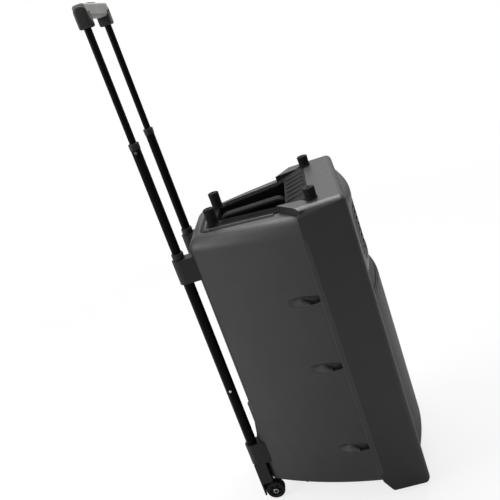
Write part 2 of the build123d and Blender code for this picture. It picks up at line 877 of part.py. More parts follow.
def tray_rim():
    """The tray's rim: a flat plate with an apron that climbs the bezel's step."""
    with BuildPart() as piece:
        with BuildSketch(Plane.XY.offset(shell_top)):
            with BuildLine():
                Polyline(
                    (tray_rear, -tray_rear_half),
                    (tray_front, -tray_front_half),
                    (tray_front, tray_front_half),
                    (tray_rear, tray_rear_half),
                    close=True,
                )
            make_face()
        extrude(amount=bezel_top - shell_top)
        fillet(piece.edges().filter_by(Axis.Z).group_by(Axis.X)[0], tray_corner)
        with BuildSketch(Plane.XZ):
            with BuildLine():
                Polyline(
                    (tray_rear, shell_top),
                    (crease_x, shell_top),
                    (tray_front, bezel_top),
                    (tray_front - apron_land, bezel_top),
                    (apron_start, tray_top),
                    (tray_rear, tray_top),
                    close=True,
                )
            make_face()
        extrude(amount=tray_front_half, both=True, mode=Mode.INTERSECT)
    return piece.part


with BuildPart() as top_tray:
    add(tray_rim())
    add(pocket_slab(pocket_wall, pocket_bottom, tray_top))
    add(pocket_slab(0.0, pocket_bottom + pocket_wall, full_height), mode=Mode.SUBTRACT)
finish(top_tray.part, "top_tray")

handle_top = tray_top - handle_drop
handle_low = pocket_bottom + pocket_wall
bar_low = handle_top - handle_thick
with BuildPart() as carry_handle:
    with BuildSketch(Plane.XZ):
        with BuildLine():
            Polyline(
                (pocket_rear + air, handle_low),
                (pocket_rear + air, handle_top),
                (pocket_front - air, handle_top),
                (pocket_front - air, handle_low),
                (pocket_front - air - handle_thick, handle_low),
                (pocket_front - air - handle_thick, bar_low),
                (pocket_rear + air + handle_thick, bar_low),
                (pocket_rear + air + handle_thick, handle_low),
                close=True,
            )
        make_face()
    extrude(amount=handle_width / 2, both=True)
    fillet(carry_handle.edges().filter_by(Axis.X).group_by(Axis.Z)[-1], handle_round)
finish(carry_handle.part, "carry_handle")

rear_post_x = tube_x + rear_post_reach
front_post_x = rim_x - front_post_inset
post_groups = [(rear_post_x, rear_post_y, tray_top), (front_post_x, front_post_y, bezel_top)]
with BuildPart() as top_posts:
    for post_x, post_y, seat_z in post_groups:
        add(bar(Plane.XY.offset(seat_z), post_d / 2, post_top - seat_z,
                [(post_x, s * post_y) for s in (-1, 1)]))
    fillet(top_posts.faces().filter_by(Axis.Z).group_by(Axis.Z)[-1].edges(), post_round)
finish(top_posts.part, "top_posts")

# ---------------------------------------------------------------- feet and base studs

foot_x = rim_x - foot_inset
with BuildPart() as front_feet:
    add(block(Plane.XY, foot_length, foot_width, bezel_bottom,
              [(foot_x, s * foot_y) for s in (-1, 1)], foot_round))
finish(front_feet.part, "front_feet")

with BuildPart() as base_studs:
    add(bar(Plane.XY.offset(shell_bottom - stud_height), stud_d / 2, stud_height,
            [(tube_x + stud_reach, s * stud_y) for s in (-1, 1)]))
finish(base_studs.part, "base_studs")

# ---------------------------------------------------------------- pole socket

socket_r = pole_bore_d / 2 + pole_socket_wall
socket_face = Plane.XY.offset(shell_bottom - pole_flange)
with BuildPart() as pole_socket:
    add(bar(socket_face, pole_flange_d / 2, pole_flange, [(pole_x, 0)]))
    add(bar(socket_face, socket_r, pole_flange + pole_depth + pole_socket_wall, [(pole_x, 0)]))
    add(bar(socket_face, pole_bore_d / 2, pole_flange + pole_depth, [(pole_x, 0)]), mode=Mode.SUBTRACT)
finish(pole_socket.part, "pole_socket")

# ---------------------------------------------------------------- trolley


def tube_pair(outside_r, thick, low, high):
    """Both tubes of one stage."""
    with BuildPart() as piece:
        add(bar(Plane.XY.offset(low), outside_r, high - low, tube_spots))
        add(bar(Plane.XY.offset(low), outside_r - thick, high - low, tube_spots), mode=Mode.SUBTRACT)
    return piece.part


def ring_pair(outside_r, hole_r, low, high):
    """A ring on each tube axis."""
    return tube_pair(outside_r, outside_r - hole_r, low, high)


outer_low = outer_tube_bottom + bracket_wall
stages = {
    "outer_tube": (outer_r, outer_tube_wall, outer_low, outer_tube_top),
    "middle_tube": (middle_r, middle_tube_wall, outer_tube_top - middle_overlap, middle_top),
    "inner_tube": (inner_r, inner_tube_wall, middle_top - inner_overlap, inner_top + grip_socket),
}
for stage, (radius, thick, low, high) in stages.items():
    pair = tube_pair(radius, thick, low, high)
    for side, solid in zip(("right", "left"), pair.solids().sort_by(Axis.Y)):
        with BuildPart() as tube:
            add(solid)
        finish(tube.part, f"{stage}_{side}")


def collar_pair(tube_r, thick, slider_r, top):
    """A guide collar in each tube's mouth, with a lip over and around the tube's end."""
    with BuildPart() as piece:
        add(ring_pair(tube_r + collar_wall, tube_r + fit, top - collar_height, top))
        add(ring_pair(tube_r + collar_wall, slider_r + fit, top, top + collar_lip))
        add(ring_pair(tube_r - thick - fit, slider_r + fit, top - collar_height, top))
    return piece.part


with BuildPart() as outer_collars:
    add(collar_pair(outer_r, outer_tube_wall, middle_r, outer_tube_top))
finish(outer_collars.part, "outer_collars")

with BuildPart() as middle_collars:
    add(collar_pair(middle_r, middle_tube_wall, inner_r, middle_top))
finish(middle_collars.part, "middle_collars")
middle_travel = middle_out_height - lock_drop - rivet_d / 2 - collar_lip - air
inner_travel = inner_out_height - collar_lip - air
print("middle tubes slide in by", middle_travel, "mm and inner tubes by", inner_travel, "mm")


def studs_on_tubes(tube_r, z, proud):
    """A round-headed rivet on the outboard side of each tube."""
    with BuildPart() as piece:
        for y, sign in zip(tube_ys, (-1, 1)):
            face = Plane(origin=(tube_x, y + sign * (tube_r - proud), z), z_dir=(0, sign, 0))
            add(bar(face, rivet_d / 2, 2 * proud, [(0, 0)]))
        for y in tube_ys:
            add(bar(Plane.XY.offset(z - rivet_d), tube_r, 2 * rivet_d, [(tube_x, y)]), mode=Mode.SUBTRACT)
    return piece.part


with BuildPart() as tube_rivets:
    add(studs_on_tubes(outer_r, outer_rivet_z, rivet_head))
finish(tube_rivets.part, "tube_rivets")

with BuildPart() as lock_buttons:
    add(studs_on_tubes(middle_r, middle_top - lock_drop, rivet_head))
finish(lock_buttons.part, "lock_buttons")


def bracket(low, high, seat_x):
    """A moulding that holds both tubes and seats on the shell's back at one depth."""
    spots = dict(bracket_screw_rows)[seat_x]
    with BuildPart() as piece:
        add(bar(Plane.XY.offset(low), lobe_r, high - low, tube_spots))
        add(block(Plane.XY.offset(low), arm_length, 2 * lobe_r, high - low,
                  [(tube_x + arm_length / 2, y) for y in tube_ys]))
        add(block(Plane.XY.offset(low), bracket_plate, tube_pitch, high - low,
                  [(seat_x - bracket_plate / 2, 0)]))
        add(bar(Plane.YZ.offset(seat_x - bracket_plate), screw_d / 2 + screw_air, bracket_plate, spots),
            mode=Mode.SUBTRACT)
        add(shell_outside, mode=Mode.SUBTRACT)
    return piece.part


arm_length = outer_r + shell_gap + back_radius
tube_holes = bar(Plane.XY.offset(outer_low), outer_r + fit, big, tube_spots)
with BuildPart() as upper_bracket:
    add(bracket(upper_bracket_low, upper_bracket_high, shell_back))
    add(tube_holes, mode=Mode.SUBTRACT)
finish(upper_bracket.part, "upper_bracket")

axle_x = tube_x + wheel_reach
axle_z = wheel_d / 2
cheek_outer = wheel_y - wheel_width / 2 - washer_gap
cheek_inner = cheek_outer - fender_wall
fender_back = axle_x - wheel_d / 2 - fender_air - fender_wall
column_low = wheel_d + fender_air
column_outer = tube_pitch / 2 + lobe_r
column_front = foot_back - air
with BuildPart() as lower_bracket:
    add(bracket(outer_tube_bottom, lower_bracket_high, foot_back))
    for side in (-1, 1):
        cheek_y = side * (cheek_inner + cheek_outer) / 2
        column_y = side * (cheek_inner + column_outer) / 2
        add(block(Plane.XY.offset(column_low), column_front - fender_back, column_outer - cheek_inner,
                  outer_tube_bottom - column_low, [((column_front + fender_back) / 2, column_y)]))
        add(block(Plane.XY.offset(axle_z), axle_x - fender_back, fender_wall, column_low - axle_z,
                  [((axle_x + fender_back) / 2, cheek_y)]))
        add(block(Plane.XY.offset(axle_z - axle_d), fender_wall, column_outer - cheek_inner,
                  column_low - axle_z + axle_d, [(fender_back + fender_wall / 2, column_y)]))
        add(block(Plane.XY.offset(axle_z - axle_d), axle_x - fender_back, fender_wall, axle_d,
                  [((axle_x + fender_back) / 2, cheek_y)]))
        cheek_plane = Plane(origin=(axle_x, side * cheek_inner, axle_z), z_dir=(0, side, 0))
        add(bar(cheek_plane, axle_head_d, fender_wall, [(0, 0)]))
    add(bar(Plane.XZ.offset(-big / 2), axle_d / 2 + fit, big, [(axle_x, axle_z)]), mode=Mode.SUBTRACT)
    add(tube_holes, mode=Mode.SUBTRACT)
finish(lower_bracket.part, "lower_bracket")

axle_half = wheel_y + wheel_width / 2 + washer_gap
with BuildPart() as axle:
    add(bar(Plane.XZ, axle_d / 2, axle_half, [(axle_x, axle_z)], both=True))
    for side in (-1, 1):
        head_plane = Plane(origin=(axle_x, side * axle_half, axle_z), z_dir=(0, side, 0))
        add(bar(head_plane, axle_head_d / 2, axle_head, [(0, 0)]))
finish(axle.part, "axle")

hub_r = wheel_d / 2 - tyre_depth
for side, name in ((-1, "right"), (1, "left")):
    inner_face = Plane(origin=(axle_x, side * (wheel_y - wheel_width / 2), axle_z), z_dir=(0, side, 0))
    dish = inner_face.offset(wheel_width - fender_wall)
    with BuildPart() as wheel:
        add(bar(inner_face, hub_r, wheel_width, [(0, 0)]))
        add(bar(dish, hub_r - hub_rim, fender_wall, [(0, 0)]), mode=Mode.SUBTRACT)
        add(bar(dish, axle_head_d / 2, fender_wall, [(0, 0)]))
        add(bar(inner_face, axle_d / 2 + fit, wheel_width, [(0, 0)]), mode=Mode.SUBTRACT)
    finish(wheel.part, f"wheel_{name}")
    with BuildPart() as tyre:
        add(bar(inner_face, wheel_d / 2, wheel_width, [(0, 0)]))
        fillet(tyre.edges(), tyre_round)
        add(bar(inner_face, hub_r, wheel_width, [(0, 0)]), mode=Mode.SUBTRACT)
    finish(tyre.part, f"tyre_{name}")

with BuildPart() as bracket_screws:
    for seat_x, spots in bracket_screw_rows:
        head_x = seat_x - bracket_plate
        add(bar(Plane.YZ.offset(head_x - screw_head_height), screw_head_d / 2, screw_head_height, spots))
        add(bar(Plane.YZ.offset(head_x), screw_d / 2, bracket_plate + screw_bite, spots))
finish(bracket_screws.part, "bracket_screws")

# ---------------------------------------------------------------- grip

end_inner = tube_pitch / 2 - lobe_r - fit
end_outer = end_inner + grip_end_width
cheek_start = end_outer - grip_end_wall
saddle_z = grip_low + grip_saddle
crossbar_low = grip_high - crossbar_height


def mirrored(part):
    """A piece and its reflection across the middle plane."""
    with BuildPart() as pair:
        add(part)
        mirror(about=Plane.XZ)
    return pair.part


with BuildPart() as grip_end:
    with BuildSketch(Plane.YZ.offset(tube_x)):
        with BuildLine():
            Polyline(
                (end_inner, grip_low),
                (end_outer, grip_low),
                (end_outer, grip_high - grip_step),
                (cheek_start, grip_high - grip_step),
                (cheek_start, saddle_z),
                (end_inner, saddle_z),
                close=True,
            )
        make_face()
    extrude(amount=grip_depth / 2, both=True)
    fillet(grip_end.edges().filter_by(Axis.Z).group_by(Axis.Y)[-1], grip_round)
    add(bar(Plane.XY.offset(grip_low), inner_r + fit, grip_socket, tube_spots), mode=Mode.SUBTRACT)
with BuildPart() as grip_ends:
    add(mirrored(grip_end.part))
finish(grip_ends.part, "grip_ends")

release_pocket = block(Plane.XY.offset(grip_high - release_height - release_travel), release_width + 2 * air,
                       release_length + 2 * air, big, [(tube_x, 0)], release_width / 2)
with BuildPart() as grip_crossbar:
    with BuildSketch(Plane.YZ.offset(tube_x)):
        with BuildLine():
            Polyline(
                (-cheek_start, saddle_z),
                (-end_inner, saddle_z),
                (-end_inner, crossbar_low),
                (end_inner, crossbar_low),
                (end_inner, saddle_z),
                (cheek_start, saddle_z),
                (cheek_start, grip_high),
                (-cheek_start, grip_high),
                close=True,
            )
        make_face()
    extrude(amount=crossbar_depth / 2, both=True)
    fillet(grip_crossbar.edges().filter_by(Axis.Y), grip_round)
    add(release_pocket, mode=Mode.SUBTRACT)
finish(grip_crossbar.part, "grip_crossbar")

release_top = grip_high + release_proud
with BuildPart() as release_button:
    add(block(Plane.XY.offset(release_top - release_height), release_width, release_length, release_height,
              [(tube_x, 0)], release_width / 2 - air))
    fillet(release_button.faces().sort_by(Axis.Z)[-1].edges(), release_round)
finish(release_button.part, "release_button")

# ---------------------------------------------------------------- amplifier panel

panel_back = inside_back
panel_front = panel_back + panel_thick
panel_spot = [(0, panel_z)]
media_z = panel_z + media_rise
button_spots = [(y * button_pitch, media_z - button_drop) for y in (-1, 0, 1)]
button_names = ["next_button", "play_button", "previous_button"]
small_spots = [(y * knob_pitch, panel_z + small_rise) for y in (-1, 0, 1)]
tone_spots = [(y * knob_pitch / 2, panel_z + tone_rise) for y in (-1, 1)]
knob_names = ["mic_knob", "line_knob", "master_knob", "bass_knob", "treble_knob"]
knob_radii = [knob_small_d / 2, knob_small_d / 2, knob_d / 2, knob_small_d / 2, knob_small_d / 2]
knob_spots = small_spots + tone_spots
jack_spots = [(y * jack_pitch, panel_z - jack_drop) for y in (-1, 0, 1)]
inlet_spot = [(-inlet_side, panel_z - inlet_drop)]
rocker_spot = [(rocker_side, panel_z - inlet_drop)]


def on_panel(x):
    """The plane across the panel at one depth, facing into the cabinet."""
    return Plane.YZ.offset(x)


with BuildPart() as amp_panel:
    add(block(on_panel(panel_back), panel_width, panel_height, panel_thick, panel_spot, panel_lip / 2))
    add(bar(on_panel(panel_back), pot_bush_d / 2 + fit, panel_thick, knob_spots), mode=Mode.SUBTRACT)
    add(bar(on_panel(panel_back), jack_d / 2 + fit, panel_thick, jack_spots), mode=Mode.SUBTRACT)
    add(bar(on_panel(panel_back), button_d / 2 + air, panel_thick, button_spots), mode=Mode.SUBTRACT)
    add(block(on_panel(panel_back), inlet_width + 2 * fit, inlet_height + 2 * fit, panel_thick, inlet_spot),
        mode=Mode.SUBTRACT)
    add(block(on_panel(panel_back), rocker_width + 2 * air, rocker_height + 2 * rocker_air, panel_thick,
              rocker_spot), mode=Mode.SUBTRACT)
finish(amp_panel.part, "amp_panel")

media_back = panel_back - media_thick
with BuildPart() as media_panel:
    add(block(on_panel(media_back), media_width, media_height, media_thick, [(0, media_z)], media_thick))
    add(bar(on_panel(media_back), button_d / 2 + air, media_thick, button_spots), mode=Mode.SUBTRACT)
finish(media_panel.part, "media_panel")

button_back = media_back - button_proud
for spot, name in zip(button_spots, button_names):
    with BuildPart() as button:
        add(bar(on_panel(button_back), button_d / 2, button_length, [spot]))
        fillet(button.faces().sort_by(Axis.X)[0].edges(), button_round)
    finish(button.part, name)

# potentiometers: a bush through the panel, a body behind it and a shaft for the knob
knob_seat = panel_back - knob_gap
shaft_end = panel_back - shaft_height
with BuildPart() as control_pots:
    add(block(on_panel(panel_front), pot_body, pot_body, pot_depth, knob_spots))
    add(bar(on_panel(panel_back), pot_bush_d / 2, panel_thick, knob_spots))
    add(bar(on_panel(shaft_end), shaft_d / 2, shaft_height, knob_spots))
finish(control_pots.part, "control_pots")

for spot, radius, name in zip(knob_spots, knob_radii, knob_names):
    knob_top = knob_seat - knob_height
    with BuildPart() as knob:
        add(bar(on_panel(knob_top), radius, knob_height, [spot]))
        chamfer(knob.faces().sort_by(Axis.X)[0].edges(), knob_bevel)
        add(bar(on_panel(knob_seat - knob_skirt), radius + knob_skirt, knob_skirt, [spot]))
        add(block(on_panel(knob_top - knob_bevel), knob_mark, radius, 2 * knob_bevel,
                  [(spot[0], spot[1] + radius / 2)]), mode=Mode.SUBTRACT)
        add(bar(on_panel(shaft_end - fit), shaft_d / 2 + fit, shaft_height, [spot]), mode=Mode.SUBTRACT)
    finish(knob.part, name)

with BuildPart() as input_jacks:
    add(bar(on_panel(panel_back), jack_d / 2, jack_depth, jack_spots))
    add(bar(on_panel(panel_back - jack_flange), jack_flange_d / 2, jack_flange, jack_spots))
    add(bar(on_panel(panel_back - jack_flange), jack_bore_d / 2, jack_flange + jack_bore_depth, jack_spots),
        mode=Mode.SUBTRACT)
finish(input_jacks.part, "input_jacks")

inlet_back = panel_back - inlet_flange_thick
with BuildPart() as mains_inlet:
    add(block(on_panel(panel_back), inlet_width, inlet_height, inlet_depth, inlet_spot))
    add(block(on_panel(inlet_back), inlet_width + 2 * inlet_flange, inlet_height + 2 * inlet_flange,
              inlet_flange_thick, inlet_spot, inlet_flange_thick))
    add(block(on_panel(inlet_back), inlet_pocket_width, inlet_pocket_height, inlet_pocket_depth, inlet_spot,
              inlet_flange_thick), mode=Mode.SUBTRACT)
    blade_start = inlet_back + inlet_pocket_depth - blade_length
    blade_spots = [(inlet_spot[0][0] + y * blade_pitch, inlet_spot[0][1] + (abs(y) - 1) * blade_pitch / 2)
                   for y in (-1, 0, 1)]
    add(block(on_panel(blade_start), blade_thick, blade_wide, blade_length, blade_spots))
finish(mains_inlet.part, "mains_inlet")

with BuildPart() as rocker_flat:
    with BuildSketch(Plane.XZ.offset(-rocker_spot[0][0] - rocker_width / 2)):
        with BuildLine():
            half_h = rocker_height / 2
            Polyline(
                (panel_back - rocker_proud, panel_z - inlet_drop - half_h),
                (panel_back - rocker_proud / 2, panel_z - inlet_drop),
                (panel_back - rocker_proud, panel_z - inlet_drop + half_h),
                (panel_back + rocker_depth / 2, panel_z - inlet_drop + half_h / 2),
                (panel_back + rocker_depth, panel_z - inlet_drop),
                (panel_back + rocker_depth / 2, panel_z - inlet_drop - half_h / 2),
                close=True,
            )
        make_face()
    extrude(amount=rocker_width)
rocker_axis = Axis((panel_back, rocker_spot[0][0], panel_z - inlet_drop), (0, 1, 0))
rocker_pin = bar(Plane(origin=(panel_back, rocker_side, panel_z - inlet_drop), z_dir=(0, 1, 0)),
                 rocker_pin_d / 2, rocker_width / 2 + rocker_pin_proud, [(0, 0)], both=True)
with BuildPart() as power_rocker:
    add(rocker_flat.part.rotate(rocker_axis, -rocker_tilt))
    add(rocker_pin)
finish(power_rocker.part, "power_rocker")

# ---------------------------------------------------------------- electronics inside

board_x = panel_front + pot_depth
board_z = panel_z + board_rise
with BuildPart() as main_board:
    add(block(on_panel(board_x), board_width, board_height, board_thick, [(0, board_z)]))
finish(main_board.part, "main_board")

sink_z = panel_z - sink_drop
with BuildPart() as amp_heatsink:
    add(block(on_panel(panel_front), fin_pitch * fin_count, sink_height, sink_base, [(sink_side, sink_z)]))
    fins = [(sink_side + (i - (fin_count - 1) / 2) * fin_pitch, sink_z) for i in range(fin_count)]
    add(block(on_panel(panel_front + sink_base), fin_thick, sink_height, fin_depth, fins))
finish(amp_heatsink.part, "amp_heatsink")

cavity_floor = shell_bottom + wall
battery_x = tube_x + battery_reach
with BuildPart() as battery_pack:
    add(block(Plane.XY.offset(cavity_floor), battery_depth, battery_width, battery_height,
              [(battery_x, 0)], battery_round))
    terminals = [(battery_x + terminal_offset, s * terminal_pitch / 2) for s in (-1, 1)]
    add(block(Plane.XY.offset(cavity_floor + battery_height), terminal_size, terminal_size,
              terminal_height, terminals))
finish(battery_pack.part, "battery_pack")

strap_in = battery_width / 2 + air
strap_out = strap_in + strap_thick
strap_low = cavity_floor + battery_height + air
with BuildPart() as battery_strap:
    with BuildSketch(Plane.YZ.offset(battery_x)):
        with BuildLine():
            Polyline(
                (-strap_out - strap_ear, cavity_floor),
                (-strap_in, cavity_floor),
                (-strap_in, strap_low),
                (strap_in, strap_low),
                (strap_in, cavity_floor),
                (strap_out + strap_ear, cavity_floor),
                (strap_out + strap_ear, cavity_floor + strap_thick),
                (strap_out, cavity_floor + strap_thick),
                (strap_out, strap_low + strap_thick),
                (-strap_out, strap_low + strap_thick),
                (-strap_out, cavity_floor + strap_thick),
                (-strap_out - strap_ear, cavity_floor + strap_thick),
                close=True,
            )
        make_face()
    extrude(amount=strap_width / 2, both=True)
    add(block(Plane.XY.offset(strap_low), terminal_window, terminal_window, 2 * strap_thick, terminals),
        mode=Mode.SUBTRACT)
finish(battery_strap.part, "battery_strap")

with BuildPart() as power_supply:
    add(block(Plane.XY.offset(cavity_floor), supply_depth, supply_width, supply_height,
              [(crease_x - supply_inset, 0)], supply_round))
finish(power_supply.part, "power_supply")
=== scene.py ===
# Party speaker on a telescoping trolley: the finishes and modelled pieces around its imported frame.
# Metres, +X out of the grille, +Y to the speaker's left, +Z up.
import json
import math

import bmesh
import bpy
import numpy as np
from mathutils import Matrix, Vector


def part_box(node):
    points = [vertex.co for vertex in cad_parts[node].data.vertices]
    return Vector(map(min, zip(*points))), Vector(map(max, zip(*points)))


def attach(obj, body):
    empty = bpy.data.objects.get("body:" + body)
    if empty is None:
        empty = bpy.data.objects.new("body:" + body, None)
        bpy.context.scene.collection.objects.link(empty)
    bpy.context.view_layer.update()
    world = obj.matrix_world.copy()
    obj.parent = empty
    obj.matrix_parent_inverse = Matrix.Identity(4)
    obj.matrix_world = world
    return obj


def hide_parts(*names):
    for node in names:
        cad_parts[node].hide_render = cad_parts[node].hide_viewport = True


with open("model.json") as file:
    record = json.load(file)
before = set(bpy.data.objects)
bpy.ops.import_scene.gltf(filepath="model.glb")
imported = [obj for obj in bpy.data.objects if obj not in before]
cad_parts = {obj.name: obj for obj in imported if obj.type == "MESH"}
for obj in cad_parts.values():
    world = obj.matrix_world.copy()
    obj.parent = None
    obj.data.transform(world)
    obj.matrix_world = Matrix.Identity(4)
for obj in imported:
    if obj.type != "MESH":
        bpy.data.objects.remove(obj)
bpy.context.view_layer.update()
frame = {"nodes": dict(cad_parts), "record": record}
bodyOf = {node: body for body, nodes in frame["record"]["behaviour"]["bodies"].items() for node in nodes}
slotOf = {part["node"]: part["material_slot"] for part in frame["record"]["subparts"]}
print("frame loaded with", len(frame["nodes"]), "nodes")


# a Tap is one shader socket, and arithmetic on it adds Math nodes
class Tap:
    def __init__(self, tree, socket=None):
        self.tree = tree
        self.socket = socket

    def node(self, kind, settings=None, sockets=None, output=0):
        # any node: settings first, then the values or links of its sockets
        made = self.tree.nodes.new(kind)
        for key, value in (settings or {}).items():
            setattr(made, key, value)
        for key, value in (sockets or {}).items():
            if isinstance(value, Tap):
                self.tree.links.new(value.socket, made.inputs[key])
            else:
                made.inputs[key].default_value = value
        return Tap(self.tree, made.outputs[output] if made.outputs else None)

    def maths(self, operation, first, second=0.0):
        return self.node("ShaderNodeMath", {"operation": operation}, {0: first, 1: second})

    def __add__(self, other):
        return self.maths("ADD", self, other)

    def __radd__(self, other):
        return self.maths("ADD", other, self)

    def __sub__(self, other):
        return self.maths("SUBTRACT", self, other)

    def __rsub__(self, other):
        return self.maths("SUBTRACT", other, self)

    def __mul__(self, other):
        return self.maths("MULTIPLY", self, other)

    def __rmul__(self, other):
        return self.maths("MULTIPLY", other, self)

    def clamp(self, low, high):
        # 0 at low and 1 at high, straight in between
        return self.node("ShaderNodeMapRange", None, {"Value": self, "From Min": low, "From Max": high})


def rgb(red, green, blue):
    # the linear colour of an 8-bit screen colour
    share = np.array([red, green, blue]) / 255
    linear = np.where(share <= 0.04045, share / 12.92, ((share + 0.055) / 1.055) ** 2.4)
    return tuple(float(x) for x in linear)


def newFinish(name, **constants):
    # a material with one Principled shader, whose constants are set on its own sockets
    made = bpy.data.materials.new(name)
    made.use_nodes = True
    shader = made.node_tree.nodes["Principled BSDF"]
    for key, value in constants.items():
        shader.inputs[key.replace("_", " ")].default_value = value
    return made, Tap(made.node_tree).node("ShaderNodeTexCoord", output="Object")


def feed(made, **taps):
    # link worked-out values to the Principled shader's varying sockets
    shader = made.node_tree.nodes["Principled BSDF"]
    for key, tap in taps.items():
        made.node_tree.links.new(tap.socket, shader.inputs[key.replace("_", " ")])
    return made


def noise(place, scale, detail=3.0, roughness=0.5):
    values = {"Vector": place, "Scale": scale, "Detail": detail, "Roughness": roughness}
    return place.node("ShaderNodeTexNoise", None, values)


def blend(place, factor, dark, light):
    # a colour between two linear colours, by a factor; 6 and 7 are the node's two colours
    return place.node("ShaderNodeMix", {"data_type": "RGBA"},
                      {"Factor": factor, 6: (*dark, 1), 7: (*light, 1)}, 2)


def bump(place, height, depth):
    # depth is the real height of the relief in metres
    return place.node("ShaderNodeBump", None, {"Height": height, "Distance": depth, "Strength": 1.0})


def mouldedPlastic(name, dark, light, roughness, grainScale, relief, smear, specular):
    # sparked mould texture: fine pits over a soft drift of tone, with handling smears in the gloss
    made, place = newFinish(name, Specular_IOR_Level=specular, IOR=1.5)
    pits = noise(place, grainScale, 2.0, 0.6)
    cells = place.node("ShaderNodeTexVoronoi", {"feature": "F1"}, {"Vector": place, "Scale": grainScale * 0.7})
    drift = noise(place, 9.0, 4.0, 0.6)
    smears = noise(place, 38.0, 5.0, 0.65).clamp(0.45, 0.75)
    tone = (drift * 0.7 + pits * 0.3).clamp(0.3, 0.7)
    return feed(made, Base_Color=blend(place, tone, rgb(*dark), rgb(*light)),
                Roughness=roughness + (pits - 0.5) * 0.12 - smears * smear,
                Normal=bump(place, pits * 0.6 + cells * 0.4, relief))


def coatedMetal(name, dark, light, roughness, peelScale, relief, rub, specular, metallic, stretch):
    # paint or plating on metal: faint orange peel and polished rubs, drawn out along z by the stretch
    made, place = newFinish(name, Specular_IOR_Level=specular, Metallic=metallic)
    stretched = place.node("ShaderNodeMapping", None, {"Vector": place, "Scale": (1, 1, stretch)})
    peel = noise(place, peelScale, 3.0, 0.55)
    rubs = noise(stretched, 60.0, 4.0, 0.7)
    tone = (rubs * 0.6 + peel * 0.4).clamp(0.35, 0.68)
    return feed(made, Base_Color=blend(place, tone, rgb(*dark), rgb(*light)),
                Roughness=roughness + (rubs - 0.5) * rub, Normal=bump(place, peel, relief))


def rubber(name, dark, light, specular):
    # matt rubber, paper or cloth with a dusty bloom and a dry fine grain
    made, place = newFinish(name, Specular_IOR_Level=specular)
    grain = noise(place, 1500.0, 2.0, 0.7)
    bloom = noise(place, 45.0, 5.0, 0.6).clamp(0.42, 0.72)
    return feed(made, Base_Color=blend(place, bloom * 0.8 + grain * 0.2, rgb(*dark), rgb(*light)),
                Roughness=0.72 + bloom * 0.14, Normal=bump(place, grain, 0.00012))


def printInk(name, dark, light):
    # printed marks, a little worn
    made, place = newFinish(name, Specular_IOR_Level=0.35)
    wear = noise(place, 420.0, 3.0, 0.6)
    return feed(made, Base_Color=blend(place, wear.clamp(0.35, 0.6), rgb(*dark), rgb(*light)),
                Roughness=0.5 + (wear - 0.5) * 0.15)


def tinted(name, first, second, hazeScale, specular, roughness):
    # a clear or lit face with a faint haze in its linear colour
    made, place = newFinish(name, Specular_IOR_Level=specular, Roughness=roughness)
    return feed(made, Base_Color=blend(place, noise(place, hazeScale, 2.0), first, second))


# screen colours of the dark and the light tone, then the numbers in the order that each maker takes them
looks = {
    mouldedPlastic: {  # roughness, grain scale, relief, smear, specular level
        "cabinet_plastic": ((33, 33, 34), (42, 42, 43), 0.5, 900, 0.00010, 0.08, 0.42),
        # bezel_plastic is the cabinet plastic painted darker: painted shade on the bezel's side, which turns away
        # from the key light
        "bezel_plastic": ((24, 24, 26), (31, 31, 33), 0.44, 900, 0.00009, 0.08, 0.42),
        # a lighter copy of the cabinet plastic: painted highlight, used on the crease band, the tray lip and the
        # scoop liners
        "painted_highlight_plastic": ((40, 40, 42), (54, 54, 57), 0.4, 900, 0.00009, 0.08, 0.42),
        "horn_plastic": ((20, 20, 22), (26, 26, 28), 0.42, 1200, 0.00006, 0.06, 0.45),
        "bracket_plastic": ((11, 11, 12), (17, 17, 18), 0.55, 1000, 0.00009, 0.05, 0.3),
        "tray_plastic": ((17, 17, 18), (27, 27, 28), 0.6, 1000, 0.00009, 0.05, 0.06),
        "grip_plastic": ((21, 21, 22), (33, 33, 34), 0.5, 1000, 0.00009, 0.05, 0.3),
        "grip_grey": ((120, 119, 116), (156, 155, 152), 0.5, 420, 0.00012, 0.06, 0.4),
        "battery_case": ((44, 46, 50), (58, 60, 66), 0.5, 600, 0.00006, 0.05, 0.4),
        "knob_plastic": ((18, 18, 19), (26, 26, 27), 0.4, 1500, 0.00004, 0.05, 0.45)},
    coatedMetal: {  # roughness, peel scale, relief, rub, specular level, metallic, stretch
        "grille_steel": ((17, 17, 18), (24, 24, 26), 0.42, 700, 0.00004, 0.1, 0.4, 0.0, 1),
        "black_tube": ((1, 1, 2), (4, 4, 5), 0.45, 500, 0.00003, 0.14, 0.06, 0.0, 0.06),
        "bright_steel": ((165, 165, 168), (205, 205, 208), 0.25, 900, 0.00002, 0.12, 0.5, 1.0, 0.3),
        "lock_metal": ((62, 62, 64), (88, 88, 90), 0.4, 900, 0.00002, 0.12, 0.5, 0.4, 0.3),
        "black_steel": ((14, 14, 15), (26, 26, 28), 0.36, 900, 0.00003, 0.12, 0.4, 0.0, 1),
        "panel_metal": ((20, 20, 21), (28, 28, 30), 0.45, 1100, 0.00005, 0.1, 0.4, 0.0, 1),
        "heatsink_alloy": ((120, 121, 124), (160, 161, 165), 0.38, 400, 0.00003, 0.2, 0.5, 1.0, 0.05),
        "board_green": ((22, 70, 42), (34, 96, 58), 0.35, 250, 0.00003, 0.1, 0.5, 0.0, 1),
        "case_steel": ((120, 121, 122), (150, 151, 153), 0.4, 200, 0.00002, 0.15, 0.5, 0.9, 1),
        "gloss_black": ((8, 8, 9), (12, 12, 14), 0.14, 300, 0.00001, 0.06, 0.5, 0.0, 1),
        "basket_metal": ((24, 24, 26), (34, 34, 36), 0.45, 300, 0.00006, 0.1, 0.4, 0.2, 1)},
    rubber: {  # specular level
        "black_rubber": ((9, 9, 9), (18, 18, 19), 0.2),
        "tyre_rubber": ((10, 10, 10), (19, 19, 19), 0.2),
        "cone_paper": ((19, 19, 20), (30, 30, 31), 0.2),
        "cloth_spider": ((120, 96, 52), (160, 132, 78), 0.15)},
    printInk: {"markPaint": ((186, 187, 188), (224, 225, 226))},
}
finishes = {name: make(name, *look) for make, table in looks.items() for name, look in table.items()}
print("finishes made:", len(finishes))

